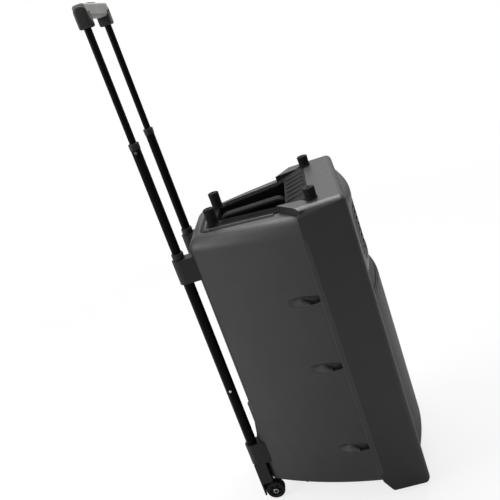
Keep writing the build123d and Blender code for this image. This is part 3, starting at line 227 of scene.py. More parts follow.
for node, thing in frame["nodes"].items():
    thing.data.materials.clear()
    thing.data.materials.append(finishes[slotOf[node]])
print("frame nodes dressed")


# a Form gathers numpy grids into one mesh
class Form:
    def __init__(self):
        self.points = []
        self.faces = []
        self.count = 0

    def add(self, points, faces):
        points = np.asarray(points, float).reshape(-1, 3)
        self.points.append(points)
        self.faces += (np.asarray(faces) + self.count).tolist()
        self.count += len(points)
        return self

    def sheet(self, grid, around=True, along=False):
        # quads between the neighbours of a grid, closed round its columns or its rows
        rows, cols = grid.shape[:2]
        index = np.arange(rows * cols).reshape(rows, cols)
        if around:
            index = np.concatenate([index, index[:, :1]], 1)
        if along:
            index = np.concatenate([index, index[:1]], 0)
        quads = np.stack([index[:-1, :-1], index[1:, :-1], index[1:, 1:], index[:-1, 1:]], -1)
        return self.add(grid, quads.reshape(-1, 4))

    def rod(self, rings):
        # a closed tube of rings with a lid at each end
        grid = np.array(rings)
        self.sheet(grid)
        self.add(grid[0], [np.arange(grid.shape[1])])
        return self.add(grid[-1], [np.arange(grid.shape[1])[::-1]])

    def beam(self, edges):
        # a rod given by its long edges
        return self.rod(np.array(edges).transpose(1, 0, 2))

    def mesh(self, name):
        made = bpy.data.meshes.new(name)
        made.from_pydata(np.concatenate(self.points).tolist(), [], self.faces)
        return made


def settle(mesh, merge=2e-6, outwards=True):
    # doubles merged, slivers dissolved and faces turned outwards
    work = bmesh.new()
    work.from_mesh(mesh)
    bmesh.ops.remove_doubles(work, verts=work.verts, dist=merge)
    bmesh.ops.dissolve_degenerate(work, edges=work.edges, dist=1e-6)
    if outwards:
        bmesh.ops.recalc_face_normals(work, faces=work.faces)
    work.to_mesh(mesh)
    work.free()
    return mesh


def linked(name, data):
    made = bpy.data.objects.new(name, data)
    bpy.context.scene.collection.objects.link(made)
    return made


def present(name, mesh, slot, body, nodes, sharp, finish=None):
    # a mesh, smooth except over sharp edges, put on its body in place of the nodes it stands for
    mesh.shade_smooth()
    mesh.set_sharp_from_angle(angle=math.radians(sharp))
    mesh.materials.clear()
    mesh.materials.append(finishes[finish or slot])
    made = linked(name, mesh)
    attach(made, body)
    if nodes:
        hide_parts(*nodes)
    return made


def piece(name, form, slot, body="root", nodes=(), sharp=32.0, finish=None):
    return present(name, settle(form.mesh(name)), slot, body, nodes, sharp, finish)


def standIn(name, form, node, **more):
    # a piece in place of one node, with that node's slot and body
    return piece(name, form, slotOf[node], bodyOf[node], [node], **more)


def beside(name, form, node, finish=None):
    # a piece that goes with a node and leaves it in place
    return piece(name, form, slotOf[node], bodyOf[node], finish=finish)


def softened(name, node, width, sharp=30.0, extra=None, segments=2, finish=None):
    # the frame node's own shape with its edges rounded over, and any extra forms joined to it
    mesh = frame["nodes"][node].data.copy()
    work = bmesh.new()
    work.from_mesh(mesh)
    bmesh.ops.remove_doubles(work, verts=work.verts, dist=1e-5)
    bmesh.ops.dissolve_limit(work, angle_limit=math.radians(0.4), verts=work.verts, edges=work.edges)
    if extra:
        work.from_mesh(settle(extra.mesh("extra")))
    work.to_mesh(mesh)
    work.free()
    made = present(name, mesh, slotOf[node], bodyOf[node], [node], sharp, finish)
    if width:
        rounding = made.modifiers.new("rounding", "BEVEL")
        rounding.width = width
        rounding.segments = segments
        rounding.limit_method = "ANGLE"
        rounding.angle_limit = math.radians(sharp)
        rounding.use_clamp_overlap = True
    evening = made.modifiers.new("evening", "WEIGHTED_NORMAL")
    evening.keep_sharp = True
    return made


def circle(steps):
    # equal angles round a circle
    return np.arange(steps) * 2 * np.pi / steps


def onAxis(axis, first, second, height):
    # two values across an axis and one along it, stacked as x, y and z
    order = {"z": (first, second, height), "x": (height, first, second), "y": (second, height, first)}
    return np.stack(order[axis], -1)


def turned(profile, centre, axis="z", steps=48):
    # pairs of radius and height turned about an axis
    profile = np.asarray(profile, float)
    angle = circle(steps)
    first, second = profile[:, :1] * np.cos(angle), profile[:, :1] * np.sin(angle)
    height = np.broadcast_to(profile[:, 1:2], first.shape)
    return onAxis(axis, first, second, height) + np.asarray(centre, float)


def roundRect(halfA, halfB, radius, steps=7):
    # a rounded rectangle as a closed ring of pairs, starting on the first corner
    bend = np.linspace(0, np.pi / 2, steps)
    corners = ((1, 1), (-1, 1), (-1, -1), (1, -1))
    arcs = [np.stack([np.cos(bend + turn * np.pi / 2), np.sin(bend + turn * np.pi / 2)], 1) * radius
            + (a * (halfA - radius), b * (halfB - radius)) for turn, (a, b) in enumerate(corners)]
    return np.concatenate(arcs)


def facing(ring, x, y=0.0, z=0.0):
    # a ring of (y, z) pairs laid square to x and moved by y and z; x is one value, or one for each pair
    ring = np.asarray(ring, float)
    return np.stack([np.broadcast_to(x, len(ring)), y + ring[:, 0], z + ring[:, 1]], -1)


def carried(path, ring, side):
    # a ring of (side, across) pairs carried along a path that lies in the plane square to side
    path = np.asarray(path, float)
    tangent = np.gradient(path, axis=0)
    tangent /= np.linalg.norm(tangent, axis=1, keepdims=True)
    across = np.cross(tangent, side)
    return path[:, None] + ring[None, :, :1] * np.asarray(side, float) + ring[None, :, 1:] * across[:, None]


def bentPath(corners, radius, steps=9):
    # straight runs through corner points, with an arc of one radius at each inner corner
    corners = np.asarray(corners, float)
    made = [corners[0]]
    for before, at, after in zip(corners[:-2], corners[1:-1], corners[2:]):
        inward = (before - at) / np.linalg.norm(before - at)
        outward = (after - at) / np.linalg.norm(after - at)
        half = np.arccos(np.clip(inward @ outward, -1, 1)) / 2
        reach = radius / np.tan(half)
        middle = at + (inward + outward) / np.linalg.norm(inward + outward) * radius / np.sin(half)
        start, end = at + inward * reach - middle, at + outward * reach - middle
        share = np.linspace(0, 1, steps)[:, None]
        arc = start * (1 - share) + end * share
        made += list(middle + arc / np.linalg.norm(arc, axis=1, keepdims=True) * radius)
    return np.array(made + [corners[-1]])


def cornersOf(node):
    low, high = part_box(node)
    return np.array(low), np.array(high)


def spanOf(node):
    # the middle and the half sizes of a node's box
    low, high = cornersOf(node)
    return (low + high) / 2, (high - low) / 2


def middleOf(node):
    return spanOf(node)[0]


# the trolley's turned pieces; sides gives the sign of y
sides = {"left": 1, "right": -1}
tubeLook = {"lipRound": 0.0006, "walls": {"outer": 0.0015, "middle": 0.0015, "inner": 0.0012}}


def makeTube(stage, side):
    # a drawn tube: its wall's section, with rolled ends, turned about the tube's axis
    node = f"{stage}_tube_{side}"
    low, high = cornersOf(node)
    middle, (outside, _, _) = spanOf(node)
    inside, lip, foot, top = outside - tubeLook["walls"][stage], tubeLook["lipRound"], low[2], high[2]
    section = [(inside, foot), (outside - lip, foot), (outside, foot + lip)]
    section += [(outside, foot + share * (top - foot)) for share in (0.25, 0.5, 0.75)]
    section += [(outside, top - lip), (outside - lip, top), (inside + lip, top), (inside, top - lip)]
    grid = turned(section, (middle[0], middle[1], 0))
    standIn(f"{stage}Tube_{side}", Form().sheet(grid, along=True), node)


collarLook = {"grooves": 3, "grooveDepth": 0.0004, "grooveHalf": 0.0008, "floorHalf": 0.0004, "lip": 0.003,
              "chamfer": 0.0007, "topRound": 0.0012, "boreRound": 0.0006, "fit": 0.00005}


def makeCollars(node, stage, slider):
    # a moulded guide: inner sleeve, cap over the tube's end and a grooved outer skirt
    look = collarLook
    low, high = cornersOf(node)
    outside, floor, top = (high[0] - low[0]) / 2, low[2], high[2]
    end = top - look["lip"]
    form = Form()
    for side in sides:
        centre, tubeHalf = spanOf(f"{stage}_tube_{side}")
        tubeR = tubeHalf[0] + look["fit"]
        boreR = spanOf(f"{slider}_tube_{side}")[1][0] + look["fit"]
        sleeveR = tubeR - tubeLook["walls"][stage] - 2 * look["fit"]
        section = [(tubeR, end), (tubeR, floor), (outside - look["chamfer"], floor),
                   (outside, floor + look["chamfer"])]
        for number in range(1, look["grooves"] + 1):
            at = floor + number * (end - floor) / (look["grooves"] + 1)
            deep = outside - look["grooveDepth"]
            section += [(outside, at - look["grooveHalf"]), (deep, at - look["floorHalf"]),
                        (deep, at + look["floorHalf"]), (outside, at + look["grooveHalf"])]
        curve, bend = look["topRound"], look["boreRound"]
        section += [(outside, top - curve), (outside - curve / 3, top - curve / 3), (outside - curve, top),
                    (boreR + bend, top), (boreR, top - bend), (boreR, floor), (sleeveR, floor), (sleeveR, end)]
        form.sheet(turned(section, (centre[0], centre[1], 0)), along=True)
    standIn(node + "Moulded", form, node)


rivetLook = {"proud": 0.0016, "dome": [(0, 1.0), (0.28, 0.97), (0.52, 0.86), (0.74, 0.66), (0.9, 0.38),
                                       (1.0, 0.06), (1.0, -0.5), (0, -0.5)]}


def makeRivets(name, node, finish=None):
    # a domed head on the outboard side of each tube; the dome's pairs are shares of its radius and height
    middle, (_, _, radius) = spanOf(node)
    face, proud = cornersOf(node)[1][1], rivetLook["proud"]
    form = Form()
    for side in ("right", "left"):
        sign = sides[side]
        section = [(r * radius, sign * h * proud) for r, h in rivetLook["dome"]]
        centre = (middleOf(f"outer_tube_{side}")[0], face * sign - sign * proud, middle[2])
        form.sheet(turned(section, centre, "y", 32))
    standIn(name, form, node, finish=finish)


for stage in tubeLook["walls"]:
    for side in sides:
        makeTube(stage, side)
makeCollars("outer_collars", "outer", "middle")
makeCollars("middle_collars", "middle", "inner")
makeRivets("tubeRivets", "tube_rivets")
makeRivets("lockButtons", "lock_buttons", "lock_metal")
print("trolley tubes, collars and rivets made")

headRings = np.array([0, 0.12, 0.2, 0.28, 0.4, 0.5, 0.56, 0.66, 0.8, 0.92, 1.0])  # shares of the radius
headLook = {"dome": 0.55, "slotHalf": 0.14, "slotReach": 0.55, "slotDeep": 0.6}


def crossHead(form, top, axis, sign, radius, tall, body=0.0):
    # a screw head: a shallow dome on a polar grid, pulled in where it lies on one of two crossed slots
    ring = headRings[:, None] * radius
    first, second = ring * np.cos(circle(48)), ring * np.sin(circle(48))
    dome = tall * headLook["dome"] * (1 - (ring / radius) ** 2)
    slot = np.minimum(abs(first), abs(second)) < headLook["slotHalf"] * radius
    slot &= np.maximum(abs(first), abs(second)) < headLook["slotReach"] * radius
    height = sign * (dome - tall * headLook["dome"] - np.where(slot, tall * headLook["slotDeep"], 0))
    grid = onAxis(axis, first, second, height)
    skirt = grid[-1:].repeat(2, 0)
    skirt[0, :, "xyz".index(axis)] = -sign * tall
    skirt[1, :, "xyz".index(axis)] = -sign * (tall + body)
    pole = skirt[-1:] * 0 + skirt[-1:].mean(1, keepdims=True)
    form.sheet(np.concatenate([grid, skirt, pole]) + np.asarray(top, float))


# posts, studs and feet
postLook = {"radius": 0.014, "rearY": 0.070, "frontY": 0.155, "trayRise": 0.003, "flange": 0.002, "waist": 0.0008,
            "grooves": (0.32, 0.46, 0.60), "grooveDepth": 0.0007, "grooveHalf": 0.0008, "topRound": 0.0028,
            "topInset": 0.0004, "bore": 0.0042, "boreRound": 0.0006, "boreDepth": 0.006,
            "screwLift": 0.0012, "screwTall": 0.0014, "screwGap": 0.0004}


def makePosts():
    # a turned rubber bumper with rings round it and a fixing screw down its middle
    look = postLook
    low, high = cornersOf("top_posts")
    top, radius = high[2], look["radius"]
    waist = radius - look["waist"]
    rear = (low[0] + radius, look["rearY"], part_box("rear_shell")[1][2] + look["trayRise"])
    front = (high[0] - radius, look["frontY"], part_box("front_bezel")[1][2])
    form, screws = Form(), Form()
    for x, y, seat in (rear, front):
        section = [(0, seat), (radius, seat), (radius, seat + look["flange"]),
                   (waist, seat + look["flange"] + look["waist"])]
        for share in look["grooves"]:
            at, half, deep = seat + share * (top - seat), look["grooveHalf"], look["grooveDepth"]
            section += [(waist, at - half), (waist - deep, at - half / 2), (waist - deep, at + half / 2),
                        (waist, at + half)]
        curve = look["topRound"]
        section += [(radius - look["topInset"] - curve * (1 - np.cos(b)), top - curve * (1 - np.sin(b)))
                    for b in np.linspace(0, np.pi / 2, 6)]
        bore, bend, floor = look["bore"], look["boreRound"], top - look["boreDepth"]
        section += [(bore + bend, top), (bore, top - bend), (bore, floor), (0, floor)]
        for sign in (-1, 1):
            form.sheet(turned(section, (x, sign * y, 0), "z", 40))
            crossHead(screws, (x, sign * y, floor + look["screwLift"]), "z", 1, bore - look["screwGap"],
                      look["screwTall"])
    standIn("topPosts", form, "top_posts")
    piece("postScrews", screws, "black_steel")


studLook = {"section": [(0, 0), (0.72, 0), (0.9, 0.12), (1.0, 0.34), (1.0, 1.0), (0, 1.0)]}


def makeStuds():
    # a turned stud, its pairs shares of the radius and of the height up from the foot
    low, high = cornersOf("base_studs")
    radius, tall = (high[0] - low[0]) / 2, high[2] - low[2]
    section = [(r * radius, low[2] + h * tall) for r, h in studLook["section"]]
    form = Form()
    for sign in (-1, 1):
        form.sheet(turned(section, ((low[0] + high[0]) / 2, sign * (high[1] - radius), 0), "z", 32))
    standIn("baseStuds", form, "base_studs")


footLook = {"width": 0.030, "corner": 0.004, "insets": ((0.004, 0.0), (0.0005, 0.0), (0, 0.0006))}


def makeFeet():
    # a moulded pad with a softened sole under each front corner of the bezel
    low, high = cornersOf("front_feet")
    halfX, halfY = (high[0] - low[0]) / 2, footLook["width"] / 2
    form = Form()
    for sign in (-1, 1):
        centre = np.array([(low[0] + high[0]) / 2, sign * (high[1] - halfY), 0])
        rings = []
        for inset, height in (*footLook["insets"], (0, high[2])):
            ring = roundRect(halfX - inset, halfY - inset, footLook["corner"] - inset * 0.8)
            rings.append(np.column_stack([ring, np.full(len(ring), height)]) + centre)
        form.rod(rings)
    standIn("frontFeet", form, "front_feet")


makePosts()
makeStuds()
makeFeet()
print("posts, studs and feet made")

# wheels; a hub radius of nought or less is measured in from the rim, and a depth in from the face
wheelLook = {"inboard": ((0.00405, 0), (0.007, 0), (0.0078, 0.001), (0.014, 0.003), (-0.002, 0.003),
                         (-0.0015, 0), (0, 0)),
             "outboard": ((0, 0.0006), (-0.0006, 0), (-0.0022, 0), (-0.0026, 0.0006), (-0.0034, 0.0052),
                          (0.0075, 0.0052), (0.0068, 0.0008), (0.0062, 0.0002), (0.00405, 0.0002)),
             "dish": 0.0052, "sunk": 0.0005, "spokes": 6, "spokeHalf": 0.0016, "spokeTop": 0.8,
             # reach, share of the half width, depth of the top
             "spoke": ((0.0066, 1.5, 0.0012), (0.011, 1.0, 0.0018), (-0.003, 1.3, 0.0012)),
             "blocks": 40, "treadDepth": 0.0007,
             # share of the half width, depth of the crown, and whether the cuts between blocks reach it
             "tread": ((-1, 0.0022, 0), (-0.97, 0.001, 0), (-0.9, 0.0003, 0), (-0.78, 0, 0), (-0.62, 0, 0),
                       (-0.6, 0, 1), (-0.14, 0, 1), (-0.12, 0.0009, 0), (0.12, 0.0009, 0), (0.14, 0, 1),
                       (0.6, 0, 1), (0.62, 0, 0), (0.78, 0, 0), (0.9, 0.0003, 0), (0.97, 0.001, 0),
                       (1, 0.0022, 0))}


def makeWheel(side):
    # the hub is turned with a dish on its outer face, and spokes stand in the dish
    look, sign = wheelLook, sides[side]
    low, high = cornersOf(f"wheel_{side}")
    middle, (hub, _, _) = spanOf(f"wheel_{side}")
    inner, outer = (low[1], high[1]) if sign > 0 else (high[1], low[1])
    centre = np.array([middle[0], 0, middle[2]])
    section = [(reach if reach > 0 else hub + reach, inner + sign * deep) for reach, deep in look["inboard"]]
    section += [(reach if reach > 0 else hub + reach, outer - sign * deep) for reach, deep in look["outboard"]]
    form = Form().sheet(turned(section, centre, "y", 64), along=True)
    base = outer - sign * (look["dish"] + look["sunk"])
    for number in range(look["spokes"]):
        angle = (number + 0.5) * 2 * np.pi / look["spokes"]
        along = np.array([np.cos(angle), 0, np.sin(angle)])
        across = np.array([-np.sin(angle), 0, np.cos(angle)])
        rings = []
        for reach, share, deep in look["spoke"]:
            wide, top = look["spokeHalf"] * share, outer - sign * deep
            ring = [(-wide, base), (-wide * look["spokeTop"], top), (wide * look["spokeTop"], top), (wide, base)]
            start = centre + along * (reach if reach > 0 else hub + reach)
            rings.append([start + across * a + np.array([0, b, 0]) for a, b in ring])
        form.rod(rings)
    standIn(f"hub_{side}", form, f"wheel_{side}")


def makeTyre(side):
    # a crowned band on the hub, with a groove round its middle and cuts between the tread blocks
    look = wheelLook
    middle, (hub, _, _) = spanOf(f"wheel_{side}")
    (_, centreY, _), (radius, halfY, _) = spanOf(f"tyre_{side}")
    across, crown, cut = np.array(look["tread"]).T
    steps = look["blocks"] * 4
    angle = circle(steps)
    gap = (np.arange(steps) % 4 == 0) * look["treadDepth"]
    reach = radius - crown[:, None] - cut[:, None] * gap[None]
    reach = np.concatenate([np.full((1, steps), hub), reach, np.full((1, steps), hub)])
    run = np.concatenate([[-1], across, [1]])[:, None] * halfY + centreY
    grid = onAxis("y", reach * np.sin(angle), reach * np.cos(angle), np.broadcast_to(run, reach.shape))
    standIn(f"tread_{side}", Form().sheet(grid + (middle[0], 0, middle[2]), along=True), f"tyre_{side}")


for side in sides:
    makeWheel(side)
    makeTyre(side)
print("wheels made")

# screws in the scoops and through the brackets
screwLook = {"radius": 0.005, "tall": 0.004, "scoopMiddle": 0.383, "scoopShank": 0.022, "upperStep": 0.014,
             "bracketShank": 0.012}


def makeScrews():
    # domed heads with a crossed recess, over a plain shank
    radius, tall = screwLook["radius"], screwLook["tall"]
    low, high = cornersOf("shell_screws")
    heads = Form()
    for z in (low[2] + radius, high[2] - radius, screwLook["scoopMiddle"]):
        for sign in (-1, 1):
            crossHead(heads, (low[0], sign * (high[1] - radius), z), "x", -1, radius, tall, screwLook["scoopShank"])
    standIn("shellScrews", heads, "shell_screws")
    low, high = cornersOf("bracket_screws")
    heads = Form()
    for z, x in ((low[2] + radius, low[0]), (high[2] - radius, low[0] + screwLook["upperStep"])):
        for share in (-1, 0, 1):
            crossHead(heads, (x, share * (high[1] - radius), z), "x", -1, radius, tall, screwLook["bracketShank"])
    standIn("bracketScrews", heads, "bracket_screws")


makeScrews()
print("screws made")

# grip; a block's stations are its distance from the middle and how far its section is drawn in
gripLook = {"crest": 0.005, "topRound": 0.0115, "lowRound": 0.0045, "leastRound": 0.001, "rim": 0.007,
            "wall": 0.008, "wallRound": 0.0005, "saddle": 0.028, "saddleRound": 0.0012, "inward": 0.018,
            "saddleTurn": ((0, 0.0012), (0.0004, 0.0003), (0.0014, 0)), "ribs": 9, "ribPitch": 0.0032,
            "ribStart": 0.006, "ribHalf": 0.009, "ribHeight": 0.0005, "ribSunk": 0.0002,
            "ribSection": ((0.0012, -0.0008), (0, -0.0004), (0, 0.0004), (0.0012, 0.0008)),
            "barRound": 0.004, "fingers": 5, "fingerPitch": 0.026, "fingerLong": 0.011, "fingerWide": 0.007,
            "swell": 0.0016, "swellSunk": 0.0002, "dots": 6, "dotReach": 0.02,
            "dot": [(0, 0.0005), (0.0012, 0.0004), (0.0021, 0.0001), (0.0023, -0.0006)]}


def gripRings(sign, stations, low, top, middle, topRound):
    # rings square to y: a block whose top corners are rounder than its low ones
    rings = []
    for y, inset in stations:
        half = np.array([middle[0] - low[0], (top - low[2]) / 2]) - inset
        upper, lower = (roundRect(half[0], half[1], max(radius - inset, gripLook["leastRound"]))
                        for radius in (topRound, gripLook["lowRound"]))
        ring = np.where(np.arange(len(upper))[:, None] < len(upper) // 2, upper, lower)
        rings.append(np.stack([middle[0] + ring[:, 0], np.full(len(ring), sign * y),
                               (low[2] + top) / 2 + ring[:, 1]], -1))
    return rings


def makeGripEnds():
    # on each side a rounded cheek and the block that reaches in under the crossbar, with ribs on the cheek
    look = gripLook
    low, high = cornersOf("grip_ends")
    middle, reach, rim, small = (low + high) / 2, high[1], look["rim"], look["wallRound"]
    bend = np.linspace(0, np.pi / 2, 7)
    cheek = [(reach - look["wall"] + small * (1 - share), small * share) for share in (1, 0)]
    cheek += [(reach - rim * (1 - np.sin(angle)), rim * (1 - np.cos(angle))) for angle in bend]
    start = middleOf("inner_tube_left")[1] - look["inward"]
    block = [(start + out, inset) for out, inset in look["saddleTurn"]] + [(reach - rim, 0)]
    wide = np.linspace(-1, 1, 9)
    ends, ribs = Form(), Form()
    for sign in (-1, 1):
        ends.rod(gripRings(sign, cheek, low, high[2] + look["crest"], middle, look["topRound"]))
        ends.rod(gripRings(sign, block, low, low[2] + look["saddle"], middle, look["saddleRound"]))
        y = sign * (reach + look["ribHeight"] * (1 - wide ** 2) - look["ribSunk"])
        for number in range(look["ribs"]):
            z = low[2] + look["ribStart"] + number * look["ribPitch"]
            ribs.beam([np.stack([middle[0] + wide * look["ribHalf"], y - sign * sink, np.full(9, z + rise)], -1)
                       for sink, rise in look["ribSection"]])
    standIn("gripEnds", ends, "grip_ends", finish="grip_plastic")
    beside("gripRibs", ribs, "grip_ends", "grip_plastic")


def makeCrossbar():
    # finger swells under the bar: height falls off as one minus the square of the distance
    look = gripLook
    low, high = cornersOf("grip_crossbar")
    middle = (low + high) / 2
    along, across = np.meshgrid(np.linspace(-1, 1, 13), np.linspace(-1, 1, 9), indexing="ij")
    z = low[2] + look["swellSunk"] - look["swell"] * (1 - along ** 2) * (1 - across ** 2)
    swells = Form()
    for number in range(look["fingers"]):
        y = middle[1] + (number - (look["fingers"] - 1) / 2) * look["fingerPitch"]
        under = np.stack([middle[0] + across * look["fingerWide"], y + along * look["fingerLong"], z], -1)
        swells.sheet(under, around=False)
    softened("gripCrossbar", "grip_crossbar", look["barRound"], segments=4)
    beside("gripFingers", swells, "grip_crossbar")


def makeReleaseButton():
    # the button with a row of grip dots, pressed flat enough to keep the node's height
    low, high = cornersOf("release_button")
    dots = Form()
    for y in np.linspace(-gripLook["dotReach"], gripLook["dotReach"], gripLook["dots"]):
        dots.sheet(turned(gripLook["dot"], ((low[0] + high[0]) / 2, y, high[2]), "z", 16))
    mesh = softened("releaseButton", "release_button", 0.0, extra=dots).data
    places = np.empty(len(mesh.vertices) * 3)
    mesh.vertices.foreach_get("co", places)
    tall = places[2::3].max() - low[2]
    places[2::3] = low[2] + (places[2::3] - low[2]) * (high[2] - low[2]) / tall
    mesh.vertices.foreach_set("co", places)


makeGripEnds()
makeCrossbar()
makeReleaseButton()
print("grip made")

# carry handle and tray
handleLook = {"halfWidth": 0.017, "halfThick": 0.0075, "round": 0.006, "bend": 0.016, "bendSteps": 9,
              "barSteps": 42, "fingers": 6, "swell": 0.0011, "plainEnd": 0.03}


def makeHandle():
    # a rounded section carried over the handle's arch, with finger swells on the bar's underside
    look = handleLook
    low, high = cornersOf("carry_handle")
    thick, steps = look["halfThick"], look["bendSteps"]
    rear, front, top = low[0] + thick, high[0] - thick, high[2] - thick
    path = bentPath([(rear, 0, low[2]), (rear, 0, top), (front, 0, top), (front, 0, low[2])], look["bend"], steps)
    run = np.linspace(path[steps], path[steps + 1], look["barSteps"])[1:-1]
    path = np.concatenate([path[:steps + 1], run, path[steps + 1:]])
    grid = carried(path, roundRect(look["halfWidth"], thick, look["round"], 6), (0, 1, 0))
    share = (path[:, 0] - low[0] - look["plainEnd"]) / (high[0] - low[0] - 2 * look["plainEnd"])
    wave = np.where((share > 0) & (share < 1), np.cos(share * look["fingers"] * 2 * np.pi) - 1, 0)
    under = np.clip((path[:, None, 2] - grid[:, :, 2]) / thick, 0, 1)
    level = abs(path[:, 2] - top) < 1e-5
    grid[:, :, 2] -= look["swell"] * (wave * level)[:, None] * under / 2
    standIn("carryHandle", Form().rod(grid), "carry_handle", finish="tray_plastic")


# x values are measured from the tubes' axis
trayLook = {"rearReach": 0.084, "rearHalf": 0.085, "frontReach": 0.332, "frontHalf": 0.151, "rise": 0.003,
            "apronStart": 0.257, "apronRun": 0.075, "edgeInset": 0.007, "start": 0.116, "end": 0.328,
            "ribs": 5, "ribPitch": 0.0068, "ribHalf": 0.0016, "ribHeight": 0.0017, "frontStart": 0.2785,
            "frontRibs": 6, "frontPitch": 0.036, "frontRibHalf": 0.010, "frontRibHeight": 0.0042,
            "taper": 0.004, "softening": 0.0011,
            "ribSection": ((-1, -0.5), (-0.75, 0.7), (0, 1), (0.75, 0.7), (1, -0.5))}


def trayHalfAt(x, tubeX):
    # the tray's half width, which grows in a straight line from its rear to its front
    share = (x - tubeX - trayLook["rearReach"]) / (trayLook["frontReach"] - trayLook["rearReach"])
    return trayLook["rearHalf"] + share * (trayLook["frontHalf"] - trayLook["rearHalf"])


def trayRib(x, y, base, half, height):
    # the long edges of a low rounded rib, pinched at both ends
    taper = np.clip(np.minimum(x - x[0], x[-1] - x) / trayLook["taper"], 0.05, 1)
    return [np.stack([x, y + half * side, base + height * rise * taper], -1)
            for side, rise in trayLook["ribSection"]]


def makeTray():
    # some ribs follow the tray's edge and some cross its front, and all climb its apron
    look = trayLook
    tubeX = middleOf("outer_tube_left")[0]
    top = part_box("top_tray")[1][2]
    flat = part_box("rear_shell")[1][2] + look["rise"]
    runs = []
    for sign in (-1, 1):
        x = np.linspace(tubeX + look["start"], tubeX + look["end"], 24)
        for number in range(look["ribs"]):
            y = sign * (trayHalfAt(x, tubeX) - look["edgeInset"] - number * look["ribPitch"])
            runs.append((x, y, look["ribHalf"], look["ribHeight"]))
    x = np.linspace(tubeX + look["frontStart"], tubeX + look["end"], 12)
    for number in range(look["frontRibs"]):
        y = 0 * x + (number - (look["frontRibs"] - 1) / 2) * look["frontPitch"]
        runs.append((x, y, look["frontRibHalf"], look["frontRibHeight"]))
    ribs = Form()
    for x, y, half, height in runs:
        climb = np.clip((x - tubeX - look["apronStart"]) / look["apronRun"], 0, 1) * (top - flat)
        ribs.beam(trayRib(x, y, flat + climb, half, height))
    softened("topTray", "top_tray", look["softening"], extra=ribs, finish="tray_plastic")


lipLook = {"out": 0.0048, "half": 0.0032, "high": 0.0030, "shadeStripOut": 0.0133, "shadeStripHalf": 0.0048,
           "shadeStripHigh": 0.0003, "shadeStripRound": 0.0004, "sunk": 0.0012, "bend": 0.012, "front": 0.246}


def lipPath(out):
    # round the tray's sides and back, at a distance from its edge
    tubeX, back, top = middleOf("outer_tube_left")[0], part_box("top_tray")[0][0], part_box("rear_shell")[1][2]
    front = tubeX + lipLook["front"]
    corners = [(front, -trayHalfAt(front, tubeX) - out, top), (back - out, -trayHalfAt(back, tubeX) - out, top),
               (back - out, trayHalfAt(back, tubeX) + out, top), (front, trayHalfAt(front, tubeX) + out, top)]
    return bentPath(corners, lipLook["bend"] + out)


def makeTrayLip():
    # a half-round lip round the tray's sides and back, in lighter plastic as a painted highlight, with a flat black
    # strip beyond it as painted shade of a groove
    half, flat, high, sunk = (lipLook[key] for key in ("half", "shadeStripHalf", "shadeStripHigh", "sunk"))
    bend = np.linspace(0, np.pi, 9)
    dome = np.stack([np.sin(bend) * lipLook["high"], np.cos(bend) * half], -1)
    dome = np.concatenate([dome, [(-sunk, -half), (-sunk, half)]])
    lip = Form().rod(carried(lipPath(lipLook["out"]), dome, (0, 0, 1)))
    # the lip's lighter plastic is a painted highlight along its crest
    piece("trayLip", lip, "cabinet_plastic", finish="painted_highlight_plastic")
    # the black strip lies almost flat on the shoulder: painted shade that stands in for the groove beyond the lip
    soft = lipLook["shadeStripRound"]
    ring = np.array([(high, flat - soft), (high, 0), (high, soft - flat), (high / 3, -flat), (-sunk, -flat),
                     (-sunk, flat), (high / 3, flat)])
    piece("trayGrooveShade", Form().rod(carried(lipPath(lipLook["shadeStripOut"]), ring, (0, 0, 1))), "black_rubber")


makeHandle()
makeTray()
makeTrayLip()
print("tray and carry handle made")

# brackets, shell, bezel and the small frame pieces with softened edges
bracketLook = {"softening": 0.0014, "webs": (-0.050, -0.034, -0.017, 0.017, 0.034, 0.050), "webInset": 0.009,
               "webEnd": 0.006, "webSection": ((0.0004, 0), (-0.0022, 0.00084), (-0.0022, -0.00084))}


def makeBrackets():
    # slim upright webs on the upper bracket's face
    low, high = cornersOf("upper_bracket")
    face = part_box("rear_shell")[0][0] + bracketLook["webInset"]
    webs = Form()
    for y in bracketLook["webs"]:
        webs.rod([[(face + a, y + b, z) for a, b in bracketLook["webSection"]]
                  for z in (low[2] + bracketLook["webEnd"], high[2] - bracketLook["webEnd"])])
    softened("upperBracket", "upper_bracket", bracketLook["softening"], extra=webs)
    softened("lowerBracket", "lower_bracket", bracketLook["softening"])


# arc holds x and half width at the crease, the belly and the back of the side
sideLook = {"arc": ((0.088, 0.215), (-0.044, 0.1715), (-0.176, 0.102)), "bandBack": 0.0065, "bandFront": 0.0075,
            "bandRound": 0.0010, "bandProud": 0.0001, "bandSunk": 0.0032, "bandLow": 0.064, "bandHigh": 0.700,
            "bandTaper": 0.010, "scoops": (0.157, 0.383, 0.556), "scoopRadius": 0.012, "scoopInset": 0.011,
            "scoopStart": 0.004, "scoopEnd": 0.030, "scoopDeep": 0.0085, "deepAt": 0.52, "dishPower": 1.2,
            "liner": 0.0004, "dive": 0.022, "shellRound": 0.0012, "bezelRound": 0.0014}


def sideHalfAt(x):
    # half width of the shell's bowed side: the circle through its crease, belly and back
    (a, b), (c, d), (e, f) = sideLook["arc"]
    across = np.array(((c - a, d - b), (e - a, f - b))) * 2
    square = np.array((c * c + d * d - a * a - b * b, e * e + f * f - a * a - b * b))
    middle = np.linalg.solve(across, square)
    return middle[1] + np.sqrt((a - middle[0]) ** 2 + (b - middle[1]) ** 2 - (x - middle[0]) ** 2)


